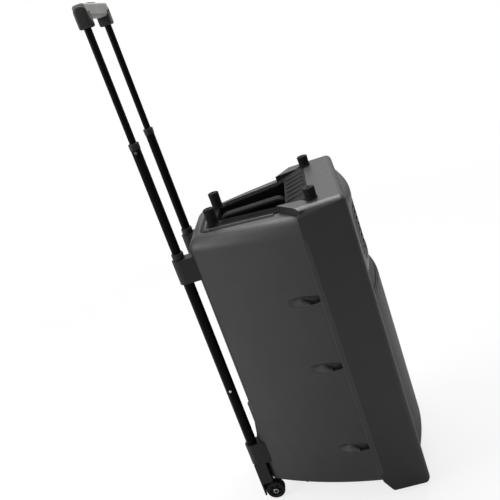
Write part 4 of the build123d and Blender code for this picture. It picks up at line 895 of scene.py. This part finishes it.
def makeCreaseBand(sign):
    # the long edges of a flat band along the widest line of the side, a little out of both slopes
    look = sideLook
    crease, half = look["arc"][0][0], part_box("front_bezel")[1][1]
    z = np.linspace(look["bandLow"], look["bandHigh"], 60)
    end = np.clip(np.minimum(z - z[0], z[-1] - z) / look["bandTaper"], 0, 1)
    slim = np.sqrt(np.clip(1 - (1 - end) ** 2, 0.02, 1))
    back, front, edge, sunk, proud = (look[key] for key in ("bandBack", "bandFront", "bandRound", "bandSunk",
                                                            "bandProud"))
    outline = [(-back, sunk), (-back, edge), (-back + edge * 0.3, edge * 0.3), (-back + edge, proud),
               (front - edge, proud), (front - edge * 0.3, edge * 0.3), (front, edge), (front, sunk)]
    return [np.stack([crease + a * slim, sign * (half - b + 0 * z), z], -1) for a, b in outline]


def makeScoopLiner(sign, height):
    # a dished lens: its deepest line lies near the top, so the long lower slope faces the light
    look = sideLook
    (crease, widest), radius = look["arc"][0], look["scoopRadius"]
    axis = widest - look["scoopInset"]
    x = np.linspace(look["scoopStart"], crease - look["scoopEnd"], 46)[:, None]
    skin = sideHalfAt(x)
    gap = np.sqrt(np.maximum(radius ** 2 - (skin - axis) ** 2, 1e-9))
    across = np.linspace(-1, 1, 17)[None]
    deepAt = look["deepAt"]
    dish = np.where(across < deepAt, (across + 1) / (deepAt + 1), (1 - across) / (1 - deepAt)) ** look["dishPower"]
    floor = axis - np.sqrt(np.maximum(radius ** 2 - (gap * across) ** 2, 0)) + look["liner"]
    dive = 1 + 4 * np.clip((x - x[-1] + look["dive"]) / look["dive"], 0, 1) ** 2
    y = np.maximum(skin - np.minimum(look["scoopDeep"], gap * 0.8) * dish * dive, floor)
    return np.stack([x + 0 * y, sign * y, height + gap * across], -1)


def makeSides():
    bands, liners = Form(), Form()
    for sign in (-1, 1):
        bands.beam(makeCreaseBand(sign))
        for height in sideLook["scoops"]:
            liners.sheet(makeScoopLiner(sign, height), around=False)
    softened("rearShell", "rear_shell", sideLook["shellRound"])
    softened("frontBezel", "front_bezel", sideLook["bezelRound"])
    # the crease band and the scoop liners are in the lighter plastic: painted highlight along the crease ridge and on
    # each scoop's lower slope
    piece("creaseBands", bands, "bezel_plastic", finish="painted_highlight_plastic")
    piece("scoopLiners", liners, "cabinet_plastic", sharp=50, finish="painted_highlight_plastic")


capLook = {"radius": 0.0058, "fit": 0.0006,
           "dome": [(0, 0.0), (0.45, -0.0001), (0.75, -0.0004), (0.93, -0.0009), (1.0, -0.0016), (1.0, -0.0030),
                    (0.6, -0.0030), (0, -0.0030)]}


def makeAxleCaps():
    # a black domed push-on cap over each end of the axle; pairs are a share of its radius and a height
    low, high = cornersOf("axle")
    middle = (low + high) / 2
    form = Form()
    for sign, end in ((-1, low[1]), (1, high[1])):
        section = [(share * capLook["radius"], sign * rise) for share, rise in capLook["dome"]]
        form.sheet(turned(section, (middle[0], end + sign * capLook["fit"], middle[2]), "y", 32))
    piece("axleCaps", form, "bracket_plastic")


makeBrackets()
makeSides()
makeAxleCaps()
softened("axleBar", "axle", 0.0004)
softened("poleSocket", "pole_socket", 0.0006)
print("shell, bezel and brackets softened")

# woofer grille: a bowed sheet of real hexagonal holes inside a folded rim
# rim holds, for each ring: inset from the outline, lift, and where it lies (0 face, 1 fold, 2 back edge)
grilleLook = {"pitch": 0.0074, "hole": 0.60, "thick": 0.0012, "bow": 0.030, "margin": 0.0085, "overlap": 0.001,
              "skirt": 0.016, "corner": 0.016, "leastCorner": 0.004, "crownGap": 0.0004, "fold": 0.0008,
              "rim": ((0.0105, 0.0004, 0), (0.004, 0.0006, 0), (0.0012, 0.0002, 0), (0.0, -0.0006, 1),
                      (0.0, -0.001, 2), (0.0012, -0.001, 2), (0.0014, -0.0012, 1), (0.005, -0.0018, 0),
                      (0.0105, -0.0018, 0))}


class BowedFace:
    # the bowed face of one node: an arc across, scaled by a quarter circle near its top and bottom ends
    def __init__(self, node, seat, edge):
        self.low, self.high = cornersOf(node)
        self.seat, self.edge = seat, edge
        self.crown = self.high[0] - grilleLook["crownGap"]
        (_, _, self.midZ), (_, self.halfY, self.halfZ) = spanOf(node)

    def at(self, y, z):
        rise = self.crown - self.seat
        ball = (self.halfY ** 2 + rise ** 2) / (2 * rise)
        arc = self.crown - ball + np.sqrt(np.maximum(ball ** 2 - y ** 2, 0)) - self.seat
        near = np.clip(np.minimum(z - self.low[2], self.high[2] - z) / self.edge, 0, 1)
        return self.seat + np.maximum(arc, 0) * np.sqrt(1 - (1 - near) ** 2)

    def over(self, ring):
        return self.at(ring[:, 0], ring[:, 1] + self.midZ)


def densify(ring, longest=0.012, parts=24):
    # a closed ring with its long runs divided, the same way for rings of one family
    made = []
    for start, end in zip(ring, np.roll(ring, -1, axis=0)):
        steps = parts if np.linalg.norm(end - start) > longest else 1
        made += [start + (end - start) * share for share in np.arange(steps) / steps]
    return np.array(made)


def makeGrilleSheet(bowed):
    # hexagon centres in staggered rows; each cell is six quads between its outline and its hole
    pitch = grilleLook["pitch"]
    rowPitch = pitch * 0.866  # the height of an equilateral triangle
    halfY, halfZ = bowed.halfY - grilleLook["margin"], bowed.halfZ - grilleLook["margin"]
    rows, cols = int(halfZ / rowPitch) + 1, int(halfY / pitch) + 2
    row, col = np.meshgrid(np.arange(-rows, rows + 1), np.arange(-cols, cols + 1), indexing="ij")
    centreY, centreZ = (col + (row % 2) * 0.5) * pitch, row * rowPitch
    keep = (abs(centreY) < halfY + pitch * 0.4) & (abs(centreZ) < halfZ + pitch * 0.4)
    centre = np.stack([centreY[keep], centreZ[keep]], -1)
    angle = np.arange(6) * np.pi / 3 + np.pi / 6
    star = np.stack([np.cos(angle), np.sin(angle)], -1) * pitch / np.sqrt(3)
    flat = np.concatenate([centre[:, None] + star, centre[:, None] + star * grilleLook["hole"]], 1).reshape(-1, 2)
    limit = np.array([halfY, halfZ]) + grilleLook["overlap"]
    flat = np.clip(flat, -limit, limit)
    first = np.arange(len(centre))[:, None] * 12
    here, after = np.arange(6), (np.arange(6) + 1) % 6
    quads = np.stack([first + here, first + after, first + 6 + after, first + 6 + here], -1).reshape(-1, 4)
    form = Form().add(facing(flat, bowed.over(flat), 0, bowed.midZ), quads)
    mesh = settle(form.mesh("grilleSheet"), 1e-5, outwards=False)
    made = present("grilleSheet", mesh, "grille_steel", "root", ["woofer_grille"], 40)
    wall = made.modifiers.new("wall", "SOLIDIFY")
    wall.thickness = grilleLook["thick"]
    wall.offset = -1


def makeGrilleRim(bowed):
    # rounded rings from the sheet's border out over the edge, back down the skirt and in again
    rings = []
    for inset, lift, place in grilleLook["rim"]:
        corner = max(grilleLook["corner"] - inset, grilleLook["leastCorner"])
        ring = densify(roundRect(bowed.halfY - inset, bowed.halfZ - inset, corner, 8))
        x = bowed.over(ring) + lift
        if place == 1:
            x = np.minimum(x, bowed.seat + grilleLook["fold"])
        if place == 2:
            x = bowed.low[0]
        rings.append(facing(ring, x, 0, bowed.midZ))
    piece("grilleRim", Form().sheet(np.array(rings), along=True), "grille_steel")


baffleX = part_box("woofer_grille")[0][0]
grilleFace = BowedFace("woofer_grille", baffleX + grilleLook["skirt"], grilleLook["bow"])
makeGrilleSheet(grilleFace)
makeGrilleRim(grilleFace)
print("woofer grille made")

# horn: one skin from the skirt over the bowed face and down the flare to the throat
hornLook = {"skirt": 0.016, "skirtGap": 0.002, "bow": 0.028, "corner": 0.016, "mouthY": 0.138, "mouthZ": 0.068,
            "mouthCorner": 0.030, "throat": 0.018, "roll": 0.006, "depth": 0.100, "flare": 1.9,
            "fin": 0.0022, "finSet": 0.0012, "finStart": 0.004, "spread": 0.056, "spreadPower": 1.6,
            "louvres": 9, "louvrePitch": 0.0146, "louvreDeep": 0.012, "louvreLean": 0.25, "louvreGap": 0.001,
            "louvreNose": 0.0008}


def hornFins(form, bowed, throatX):
    # two upright vanes that spread with the flare
    look = hornLook
    thick = look["fin"] / 2
    reach = np.linspace(0.22, 1, 14)
    tall = look["throat"] + (look["mouthZ"] - look["throat"]) * reach ** look["flare"]
    for sign in (-1, 1):
        side = sign * (look["finStart"] + look["spread"] * reach ** look["spreadPower"])
        edges = []
        for share in (-1, 1):
            z = bowed.midZ + tall * share
            x = throatX + (bowed.at(side, z) - look["finSet"] - throatX) * reach
            edges += [np.stack([x, side + wide, z], -1) for wide in (-thick * share, thick * share)]
        form.beam(edges)


def hornLouvres(form, bowed):
    # leaning blades across the flare, whose fronts follow the bowed face
    look = hornLook
    thick, deep, nose = look["fin"] / 2, look["louvreDeep"], look["louvreNose"]
    for number in range(look["louvres"]):
        z = bowed.midZ + (number - (look["louvres"] - 1) / 2) * look["louvrePitch"]
        inward = max(abs(z - bowed.midZ) - look["mouthZ"] + look["mouthCorner"], 0)
        corner = look["mouthCorner"] - math.sqrt(look["mouthCorner"] ** 2 - inward ** 2)
        y = np.linspace(-1, 1, 33) * (look["mouthY"] - corner - look["louvreGap"])
        face = bowed.at(y, z) - look["finSet"]
        ring = [(0, 0.6), (nose, 1), (deep, 1), (deep, -1), (nose, -1), (0, -0.6)]
        form.beam([np.stack([face - back, y, 0 * y + z + thick * up + back * look["louvreLean"]], -1)
                   for back, up in ring])


def makeHorn():
    # both outlines have the same corner steps, so a point keeps its place from the skirt to the mouth
    look = hornLook
    bowed = BowedFace("horn_flare", baffleX + look["skirt"], look["bow"])
    outer = densify(roundRect(bowed.halfY, bowed.halfZ, look["corner"], 8))
    mouth = densify(roundRect(look["mouthY"], look["mouthZ"], look["mouthCorner"], 8))
    stages = [(outer, baffleX), (outer, bowed.seat - look["skirtGap"])]
    for share in np.concatenate([np.linspace(0, 0.12, 6), np.linspace(0.2, 0.94, 9)]):
        flat = outer * (1 - share) + mouth * share
        stages.append((flat, bowed.over(flat)))
    lipX, roll = bowed.over(mouth), look["roll"]
    outward = mouth / np.linalg.norm(mouth, axis=1, keepdims=True)
    stages += [(mouth - outward * roll * np.sin(b), lipX - roll * (1 - np.cos(b)))
               for b in np.linspace(0.15, 1, 5) * np.pi / 2]
    lip = mouth - outward * roll
    angle = np.arctan2(lip[:, 1] / look["mouthZ"], lip[:, 0] / look["mouthY"])
    throat = np.stack([np.cos(angle), np.sin(angle)], -1) * look["throat"]
    throatX = baffleX - look["depth"]
    for share in np.linspace(0.06, 1, 14):
        # the flare opens slowly near the throat and fast at the mouth
        width = (1 - share) ** look["flare"]
        stages.append((throat * (1 - width) + lip * width, (lipX - roll) * (1 - share) + throatX * share))
    form = Form().sheet(np.array([facing(flat, x, 0, bowed.midZ) for flat, x in stages]))
    hornFins(form, bowed, throatX)
    hornLouvres(form, bowed)
    standIn("hornFace", form, "horn_flare", sharp=38)


makeHorn()
print("horn made")

# the amplifier panel and what is on it, all facing -X
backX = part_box("amp_panel")[0][0]
panelLook = {"lift": 0.00012, "thick": 0.00016, "tick": (0.0018, 0.00028), "mainTick": (0.0028, 0.0004),
             "reach": 0.0022, "turn": 150, "figureReach": 0.0056, "figure": 0.0042, "smallFigure": 0.0032,
             "jacks": {-0.040: "3", 0.0: "2", 0.040: "1"}, "jackLine": (0.0185, 0.011, 0.00022),
             "jackFigure": 0.0222, "boxTop": 0.026, "boxHalf": 0.056, "boxTall": 0.022, "boxLine": 0.00025,
             "rockerFigure": 0.0155, "screwY": 0.058, "screwZ": 0.150, "screwRadius": 0.0032,
             "screwTall": 0.0016, "louvres": 6, "louvreTop": 0.046, "louvrePitch": 0.0085, "louvreHalf": 0.044,
             "louvreEnd": 0.003, "louvreProud": 0.0022, "louvreTall": 0.0026,
             "cap": [(0, 0.0052), (0.0042, 0.0052), (0.0048, 0.0046), (0.0050, 0.0026), (0.0068, 0.0022),
                     (0.0070, 0.0006), (0.0070, 0.0), (0, 0.0)],
             "capY": 0.0085, "capSlot": (0.0034, 0.0005, 0.0056, 0.0006),
             "lens": [(0, 0.0014), (0.0010, 0.0012), (0.0017, 0.0006), (0.0020, 0.0), (0.0020, -0.0004),
                      (0, -0.0004)],
             "lensZ": (0.108, 0.118),
             "lenses": {"greenLens": (0.054, (60, 170, 70)), "redLens": (-0.054, (176, 40, 34))}}


def plate(form, y, z, halfY, halfZ, turn=0.0, front=backX - panelLook["lift"], deep=panelLook["thick"]):
    # a thin raised mark: a rectangle turned in the panel's plane
    corners = np.array([(-halfY, -halfZ), (halfY, -halfZ), (halfY, halfZ), (-halfY, halfZ)])
    turnTo = np.array([(math.cos(turn), math.sin(turn)), (-math.sin(turn), math.cos(turn))])
    flat = corners @ turnTo + (y, z)
    form.rod([facing(flat, front), facing(flat, front + deep)])


def figure(form, text, size, y, z, front=backX - panelLook["lift"]):
    # a number turned to a mesh and laid on the panel, read from behind the cabinet
    curve = bpy.data.curves.new("figure", "FONT")
    curve.body = text
    curve.size = size
    curve.align_x = "CENTER"
    curve.align_y = "CENTER"
    curve.resolution_u = 3
    curve.extrude = panelLook["thick"] / 2
    holder = bpy.data.objects.new("figure", curve)
    mesh = bpy.data.meshes.new_from_object(holder)
    flat = np.empty(len(mesh.vertices) * 3)
    mesh.vertices.foreach_get("co", flat)
    form.points.append(np.stack([front - flat[2::3], y - flat[0::3], z + flat[1::3]], -1))
    form.faces += [[corner + form.count for corner in face.vertices] for face in mesh.polygons]
    form.count += len(mesh.vertices)
    bpy.data.objects.remove(holder)


knobNodes = ("mic_knob", "line_knob", "master_knob", "bass_knob", "treble_knob")


def makeMarks():
    # a scale of ticks and end numbers round each knob, and frame lines round each group
    look, marks = panelLook, Form()
    for node in knobNodes:
        (_, y, z), (_, radius, _) = spanOf(node)
        radius += look["reach"]
        angles = [math.radians(-look["turn"] + number * look["turn"] / 5) for number in range(11)]
        for number, angle in enumerate(angles):
            long, wide = look["mainTick" if number % 5 == 0 else "tick"]
            reach = radius + long / 2
            plate(marks, y - reach * math.sin(angle), z + reach * math.cos(angle), wide / 2, long / 2, angle)
        reach = radius + look["figureReach"]
        for number in range(0, 11, 2 if node == "master_knob" else 10):
            figure(marks, str(number), look["smallFigure"], y - reach * math.sin(angles[number]),
                   z + reach * math.cos(angles[number]))
    jackZ, (up, halfY, halfZ) = middleOf("input_jacks")[2], look["jackLine"]
    for y, text in look["jacks"].items():
        plate(marks, y, jackZ + up, halfY, halfZ)
        figure(marks, text, look["figure"], y, jackZ + look["jackFigure"])
    rocker = middleOf("power_rocker")
    top, line = middleOf("mains_inlet")[2] + look["boxTop"], look["boxLine"]
    plate(marks, 0.0, top, look["boxHalf"], line)
    for y in (-look["boxHalf"], look["boxHalf"]):
        plate(marks, y, top - look["boxTall"], line, look["boxTall"])
    for text, sign in (("I", 1), ("O", -1)):
        figure(marks, text, look["figure"], rocker[1], rocker[2] + sign * look["rockerFigure"])
    piece("panelMarks", marks, "panel_metal", finish="markPaint")


def makePanelHardware():
    # corner screws, louvres over the heatsink, a fuse cap and indicator lenses
    look = panelLook
    middleZ = middleOf("amp_panel")[2]
    screws = Form()
    for y in (-look["screwY"], look["screwY"]):
        for z in (middleZ - look["screwZ"], middleZ, middleZ + look["screwZ"]):
            crossHead(screws, (backX - look["screwTall"], y, z), "x", -1, look["screwRadius"], look["screwTall"])
    piece("panelScrews", screws, "black_steel")
    louvres, half, end = Form(), look["louvreHalf"], look["louvreEnd"]
    bend = np.linspace(0, np.pi, 9)
    for number in range(look["louvres"]):
        z = middleZ - look["louvreTop"] - number * look["louvrePitch"]
        rings = []
        for y in np.concatenate([np.linspace(-half, end - half, 4), np.linspace(half - end, half, 4)]):
            share = math.sqrt(max(0.04, 1 - max(0, (abs(y) - half + end) / end) ** 2))
            rings.append(np.stack([backX - look["louvreProud"] * np.sin(bend) * share, np.full(9, y),
                                   z + look["louvreTall"] * np.cos(bend)], -1))
        louvres.rod(rings)
    softened("ampPanel", "amp_panel", 0.0004, extra=louvres)
    inletZ, (halfY, halfZ, proud, deep) = middleOf("mains_inlet")[2], look["capSlot"]
    fuse = Form().sheet(turned([(r, -h) for r, h in look["cap"]], (backX, look["capY"], inletZ), "x", 40))
    plate(fuse, look["capY"], inletZ, halfY, halfZ, 0.0, backX - proud, deep)
    piece("fuseCap", fuse, "gloss_black")
    for name, (y, colour) in look["lenses"].items():
        form = Form()
        for up in look["lensZ"]:
            form.sheet(turned([(r, -h) for r, h in look["lens"]], (backX, y, middleZ + up), "x", 20))
        bright = rgb(*colour)
        finishes[name] = tinted(name, bright, tuple(share * 0.8 for share in bright), 900, 0.5, 0.2)
        piece(name, form, "gloss_black", finish=name)


# shapes are half width, half height and corner radius; fronts stand out of the player's face
mediaLook = {"y": 0.014, "down": 0.0125, "frame": (0.024, 0.0078, 0.0015), "glass": (0.0226, 0.0064, 0.0008),
             "proud": 0.0005, "sunk": -0.0004, "glassProud": 0.0001, "glassSunk": -0.0003, "digits": 0.0085,
             "digitProud": 0.00022, "sockets": ((-0.0225, 0.0066, 0.0032, 0.0006), (-0.0385, 0.0046, 0.0062, 0.0005)),
             "socketRound": 0.0005, "holeRound": 0.0003, "socketFronts": (-0.002, 0.0007, 0.0007, -0.0024),
             "tongue": (0.0046, 0.0008, 0.0003), "tongueUp": 0.0006, "tongueFronts": (-0.001, 0.0004)}


def makeMedia():
    # the player: a dark window with a frame, a socket and a card slot above its three buttons
    look = mediaLook
    low, high = cornersOf("media_panel")
    face, y, z = low[0], look["y"], high[2] - look["down"]
    ring, inner = roundRect(*look["frame"]), roundRect(*look["glass"])
    steps = ((ring, look["sunk"]), (ring, look["proud"]), (inner, look["proud"]), (inner, look["sunk"]))
    window = Form().sheet(np.array([facing(shape, face - out, y, z) for shape, out in steps]), along=True)
    window.rod([facing(inner, face - out, y, z) for out in (look["glassSunk"], look["glassProud"])])
    piece("playerWindow", window, "gloss_black")
    digits = Form()
    figure(digits, "00:00", look["digits"], y, z, face - look["digitProud"])
    finishes["digitGlow"] = tinted("digitGlow", rgb(58, 88, 96), rgb(70, 104, 112), 700, 0.3, 0.4)
    piece("playerDigits", digits, "gloss_black", finish="digitGlow")
    sockets = Form()
    for at, wide, tall, wall in look["sockets"]:
        halves = [(wide, tall)] * 2 + [(wide - wall, tall - wall)] * 2
        sockets.sheet(np.array([facing(roundRect(*half, look["socketRound"], 4), face - out, at, z)
                                for half, out in zip(halves, look["socketFronts"])]), along=True)
        hole = roundRect(wide - wall, tall - wall, look["holeRound"], 4)
        sockets.add(facing(hole, face + look["glassProud"], at, z), [np.arange(16)])
    tongue = roundRect(*look["tongue"], 4)
    sockets.rod([facing(tongue, face - out, look["sockets"][0][0], z + look["tongueUp"])
                 for out in look["tongueFronts"]])
    piece("playerSockets", sockets, "case_steel")
    softened("mediaPanel", "media_panel", 0.0006)


# signs holds the way each triangle points and whether it has a bar; face holds radius share, inset, depth
buttonLook = {"signs": {"previous_button": (1, 1), "play_button": (-1, 0), "next_button": (-1, 1)},
              "face": ((0, 0, 0.0007), (0.5, 0, 0.00055), (0.78, 0, 0.0001), (0.86, 0, 0), (1, 0.0002, 0.0003),
                       (1, 0, 0.0008)),
              "sign": 0.0013, "signTail": 0.7, "signShift": 0.0004, "barGap": 0.0002, "bar": 0.00022,
              "sunk": (0.0001, 0.0009)}


def makeButtons():
    # a dished push button and its raised sign: triangles and a bar
    look = buttonLook
    size, (front, back) = look["sign"], look["sunk"]
    for node, (point, barred) in look["signs"].items():
        low, high = cornersOf(node)
        (_, y, z), (_, radius, _) = spanOf(node)
        section = [(radius * share - inset, low[0] + deep) for share, inset, deep in look["face"]]
        section += [(radius, high[0]), (0, high[0])]
        cap = Form().sheet(turned(section, (0, y, z), "x", 40))
        standIn(node.replace("_b", "B"), cap, node)
        tail = -point * size * look["signTail"]
        triangle = [(point * size, 0), (tail, size), (tail, -size)]
        shift = -point * look["signShift"] * barred
        sign = Form().rod([facing(triangle, low[0] + deep, y + shift, z) for deep in (front, back)])
        if barred:
            plate(sign, y + point * (size + look["barGap"]), z, look["bar"], size, 0.0, low[0] + front, back - front)
        beside(node.replace("_button", "Sign"), sign, node, "markPaint")


# rows of a knob: which radius, how much of it, what is added, distance from the face or the base, flute's share
knobLook = {"flutes": 18, "fluteDepth": 0.035, "skirt": 0.0015, "skirtTall": 0.0015, "bore": 0.0032,
            "face": (("body", 0, 0, 0.0008, 0), ("body", 0.74, 0, 0.0008, 0), ("body", 0.80, 0, 0.0001, 0),
                     ("body", 1, -0.0010, 0, 0.3), ("body", 1, -0.0002, 0.0008, 1), ("body", 1, 0, 0.0022, 1)),
            "base": (("body", 1, 0, -0.0032, 1), ("body", 1, 0.0001, -0.0021, 0.3), ("skirt", 1, -0.0004, -0.0015, 0),
                     ("skirt", 1, 0, -0.0009, 0), ("skirt", 1, 0, 0, 0), ("bore", 1, 0, 0, 0),
                     ("bore", 1, 0, -0.004, 0), ("bore", 0, 0, -0.004, 0)),
            "lines": ((0.0005, 0.42, 0.52), (0.0005, 0.0006, 0.0008)), "lineSunk": 0.0001,
            "lineDeep": (0.0012, 0.0006)}


def makeKnobs():
    # a skirted knob whose fluted body swells and sinks round its axis, with a white line on its face
    look = knobLook
    angle = circle(look["flutes"] * 6)
    wave = look["fluteDepth"] * (0.5 + 0.5 * np.cos(angle * look["flutes"]))
    for node in knobNodes:
        low, high = cornersOf(node)
        (_, y, z), (_, skirt, _) = spanOf(node)
        body = skirt - look["skirt"]
        radii = {"body": body, "skirt": skirt, "bore": look["bore"]}
        rows = np.array([(radii[kind] * share + more, start + deep, cut)
                         for start, end in ((low[0], "face"), (high[0], "base"))
                         for kind, share, more, deep, cut in look[end]])
        reach = rows[:, :1] * (1 - wave * rows[:, 2:3])
        grid = onAxis("x", reach * np.cos(angle), reach * np.sin(angle), np.broadcast_to(rows[:, 1:2], reach.shape))
        standIn(node.replace("_k", "K"), Form().sheet(grid + (0, y, z)), node)
        line = Form()
        (half, tall, up), (lowHalf, lowTall, inward) = look["lines"]
        deep, lowDeep = look["lineDeep"]
        plate(line, y, z + body * up, half, body * tall, 0.0, low[0] - look["lineSunk"], deep)
        plate(line, y, z + skirt - inward, lowHalf, lowTall, 0.0, high[0] - look["skirtTall"] - look["lineSunk"],
              lowDeep)
        beside(node.replace("_knob", "Pointer"), line, node, "markPaint")


socketLook = {"nut": 0.0082, "nutTall": 0.0014, "chamfer": 0.0006, "washer": 0.0018, "bore": 0.0046, "tilt": -8,
              "lean": 0.15, "signUp": 0.0052, "signs": {"I": (0.0042, 1), "O": (0.0038, -1)}, "signFront": -0.00238,
              "softened": (("inputJacks", "input_jacks", 0.0004), ("mainsInlet", "mains_inlet", 0.0004),
                           ("powerRocker", "power_rocker", 0.0005))}


def makeSockets():
    # the jacks' hexagon nuts, whose flats are straight in polar form, and the inlet
    look = socketLook
    (_, _, z), face = middleOf("input_jacks"), cornersOf("input_jacks")[0][0]
    angle = circle(36)
    hexed = look["nut"] * math.cos(math.pi / 6) / np.cos((angle % (np.pi / 3)) - np.pi / 6)
    chamfered, bore = hexed - look["chamfer"], np.full(36, look["bore"])
    nuts = Form()
    for y in panelLook["jacks"]:
        rings = []
        for reach, out in ((hexed, 0), (hexed, look["nutTall"]), (chamfered, look["washer"]),
                           (bore, look["washer"]), (bore, 0)):
            ring = np.stack([reach * np.cos(angle), reach * np.sin(angle)], -1)
            rings.append(facing(ring, face - out, y, z))
        nuts.sheet(np.array(rings), along=True)
    piece("jackNuts", nuts, "case_steel")
    for name, node, width in look["softened"]:
        softened(name, node, width)


def makeRockerSigns():
    # two signs that lean with the rocker's halves, tilted about its axis into the pose of rest
    look = socketLook
    middle = np.array([backX, middleOf("power_rocker")[1], middleOf("mains_inlet")[2]])
    tilt = math.radians(look["tilt"])
    signs = Form()
    for text, (size, sign) in look["signs"].items():
        figure(signs, text, size, 0, sign * look["signUp"], look["signFront"])
        x, y, z = signs.points[-1].T
        x = x - (z - z.mean()) * look["lean"] * sign
        signs.points[-1] = middle + np.stack([x * math.cos(tilt) + z * math.sin(tilt), y,
                                              z * math.cos(tilt) - x * math.sin(tilt)], -1)
    piece("rockerSigns", signs, "gloss_black", bodyOf["power_rocker"], finish="markPaint")


makeMarks()
makePanelHardware()
makeMedia()
makeButtons()
makeKnobs()
makeSockets()
makeRockerSigns()
print("amplifier panel made")

# camera, floor and light
view = {"place": (0.1686, -1.5865, 1.1704), "azimuth": 8.11, "elevation": 18.37, "roll": -19.75, "lens": 49.54}


def setCamera(look):
    # back, right and up are the camera's axes in the scene
    turn, rise, lean = (math.radians(look[key]) for key in ("azimuth", "elevation", "roll"))
    back = Vector((math.sin(turn) * math.cos(rise), -math.cos(turn) * math.cos(rise), math.sin(rise)))
    level = Vector((math.cos(turn), math.sin(turn), 0))
    right = level * math.cos(lean) + back.cross(level) * math.sin(lean)
    up = back.cross(right)
    lens = bpy.data.cameras.new("camera")
    lens.sensor_width = 36
    lens.lens = look["lens"]
    made = linked("camera", lens)
    made.matrix_world = Matrix.Translation(look["place"]) @ Matrix((right, up, back)).transposed().to_4x4()
    bpy.context.scene.camera = made


def emptied(thing):
    # the node tree of a material or world, cleared
    thing.use_nodes = True
    thing.node_tree.nodes.clear()
    return Tap(thing.node_tree)


def setFloor(look):
    # a pale disc whose far part is as white as the backdrop, so that no horizon shows
    angle = np.linspace(0, 2 * np.pi, 97)[:-1]
    ring = np.stack([np.cos(angle), np.sin(angle), 0 * angle], 1) * look["radius"]
    mesh = Form().add(ring, [np.arange(len(ring))]).mesh("floor")
    made = linked("floor", mesh)
    paint = bpy.data.materials.new("floor")
    start = emptied(paint)
    place = start.node("ShaderNodeTexCoord", output="Object")
    reach = start.node("ShaderNodeVectorMath", {"operation": "LENGTH"}, {0: place}, "Value")
    seen = start.node("ShaderNodeLightPath", output="Is Camera Ray")
    white = start.node("ShaderNodeEmission", None, {"Color": (1, 1, 1, 1), "Strength": 1.0})
    matt = start.node("ShaderNodeBsdfDiffuse", None, {"Color": (*look["colour"], 1)})
    share = seen * (look["white"] + (1 - look["white"]) * reach.clamp(look["fadeFrom"], look["fadeTo"]))
    both = start.node("ShaderNodeMixShader", None, {0: share, 1: matt, 2: white})
    start.node("ShaderNodeOutputMaterial", None, {"Surface": both})
    mesh.materials.append(paint)


def setWorld(look):
    # white to the eye and in reflections, and a plain level as a light
    world = bpy.data.worlds.new("world")
    start = emptied(world)
    seen, glossy, through = (start.node("ShaderNodeLightPath", output=f"Is {kind} Ray")
                             for kind in ("Camera", "Glossy", "Transmission"))
    strength = look["level"] + (1 - look["level"]) * (seen + through) + (look["glint"] - look["level"]) * glossy
    sky = start.node("ShaderNodeBackground", None, {"Color": (1, 1, 1, 1), "Strength": strength})
    start.node("ShaderNodeOutputWorld", None, {"Surface": sky})
    bpy.context.scene.world = world


def setLamp(name, place, size, power, aim=(0.0, 0.0, 0.5)):
    light = bpy.data.lights.new(name, "AREA")
    light.shape = "DISK"
    light.size = size
    light.energy = power
    made = linked(name, light)
    made.location = place
    made.rotation_euler = (Vector(place) - Vector(aim)).to_track_quat("Z", "Y").to_euler()


bpy.context.scene.view_settings.view_transform = "Standard"
setCamera(view)
setFloor({"radius": 30.0, "colour": (0.82, 0.82, 0.82), "white": 0.8, "fadeFrom": 0.6, "fadeTo": 2.6})
setWorld({"level": 0.27, "glint": 0.8})
setLamp("key", (-3.0, -1.0, 1.8), 1.6, 47)
setLamp("top", (0.2, 1.2, 3.0), 2.0, 80)
setLamp("high", (-2.3, 0.2, 3.2), 1.6, 38)
setLamp("low", (-2.0, -2.6, 0.5), 1.4, 7)
print("camera, floor and lights set")
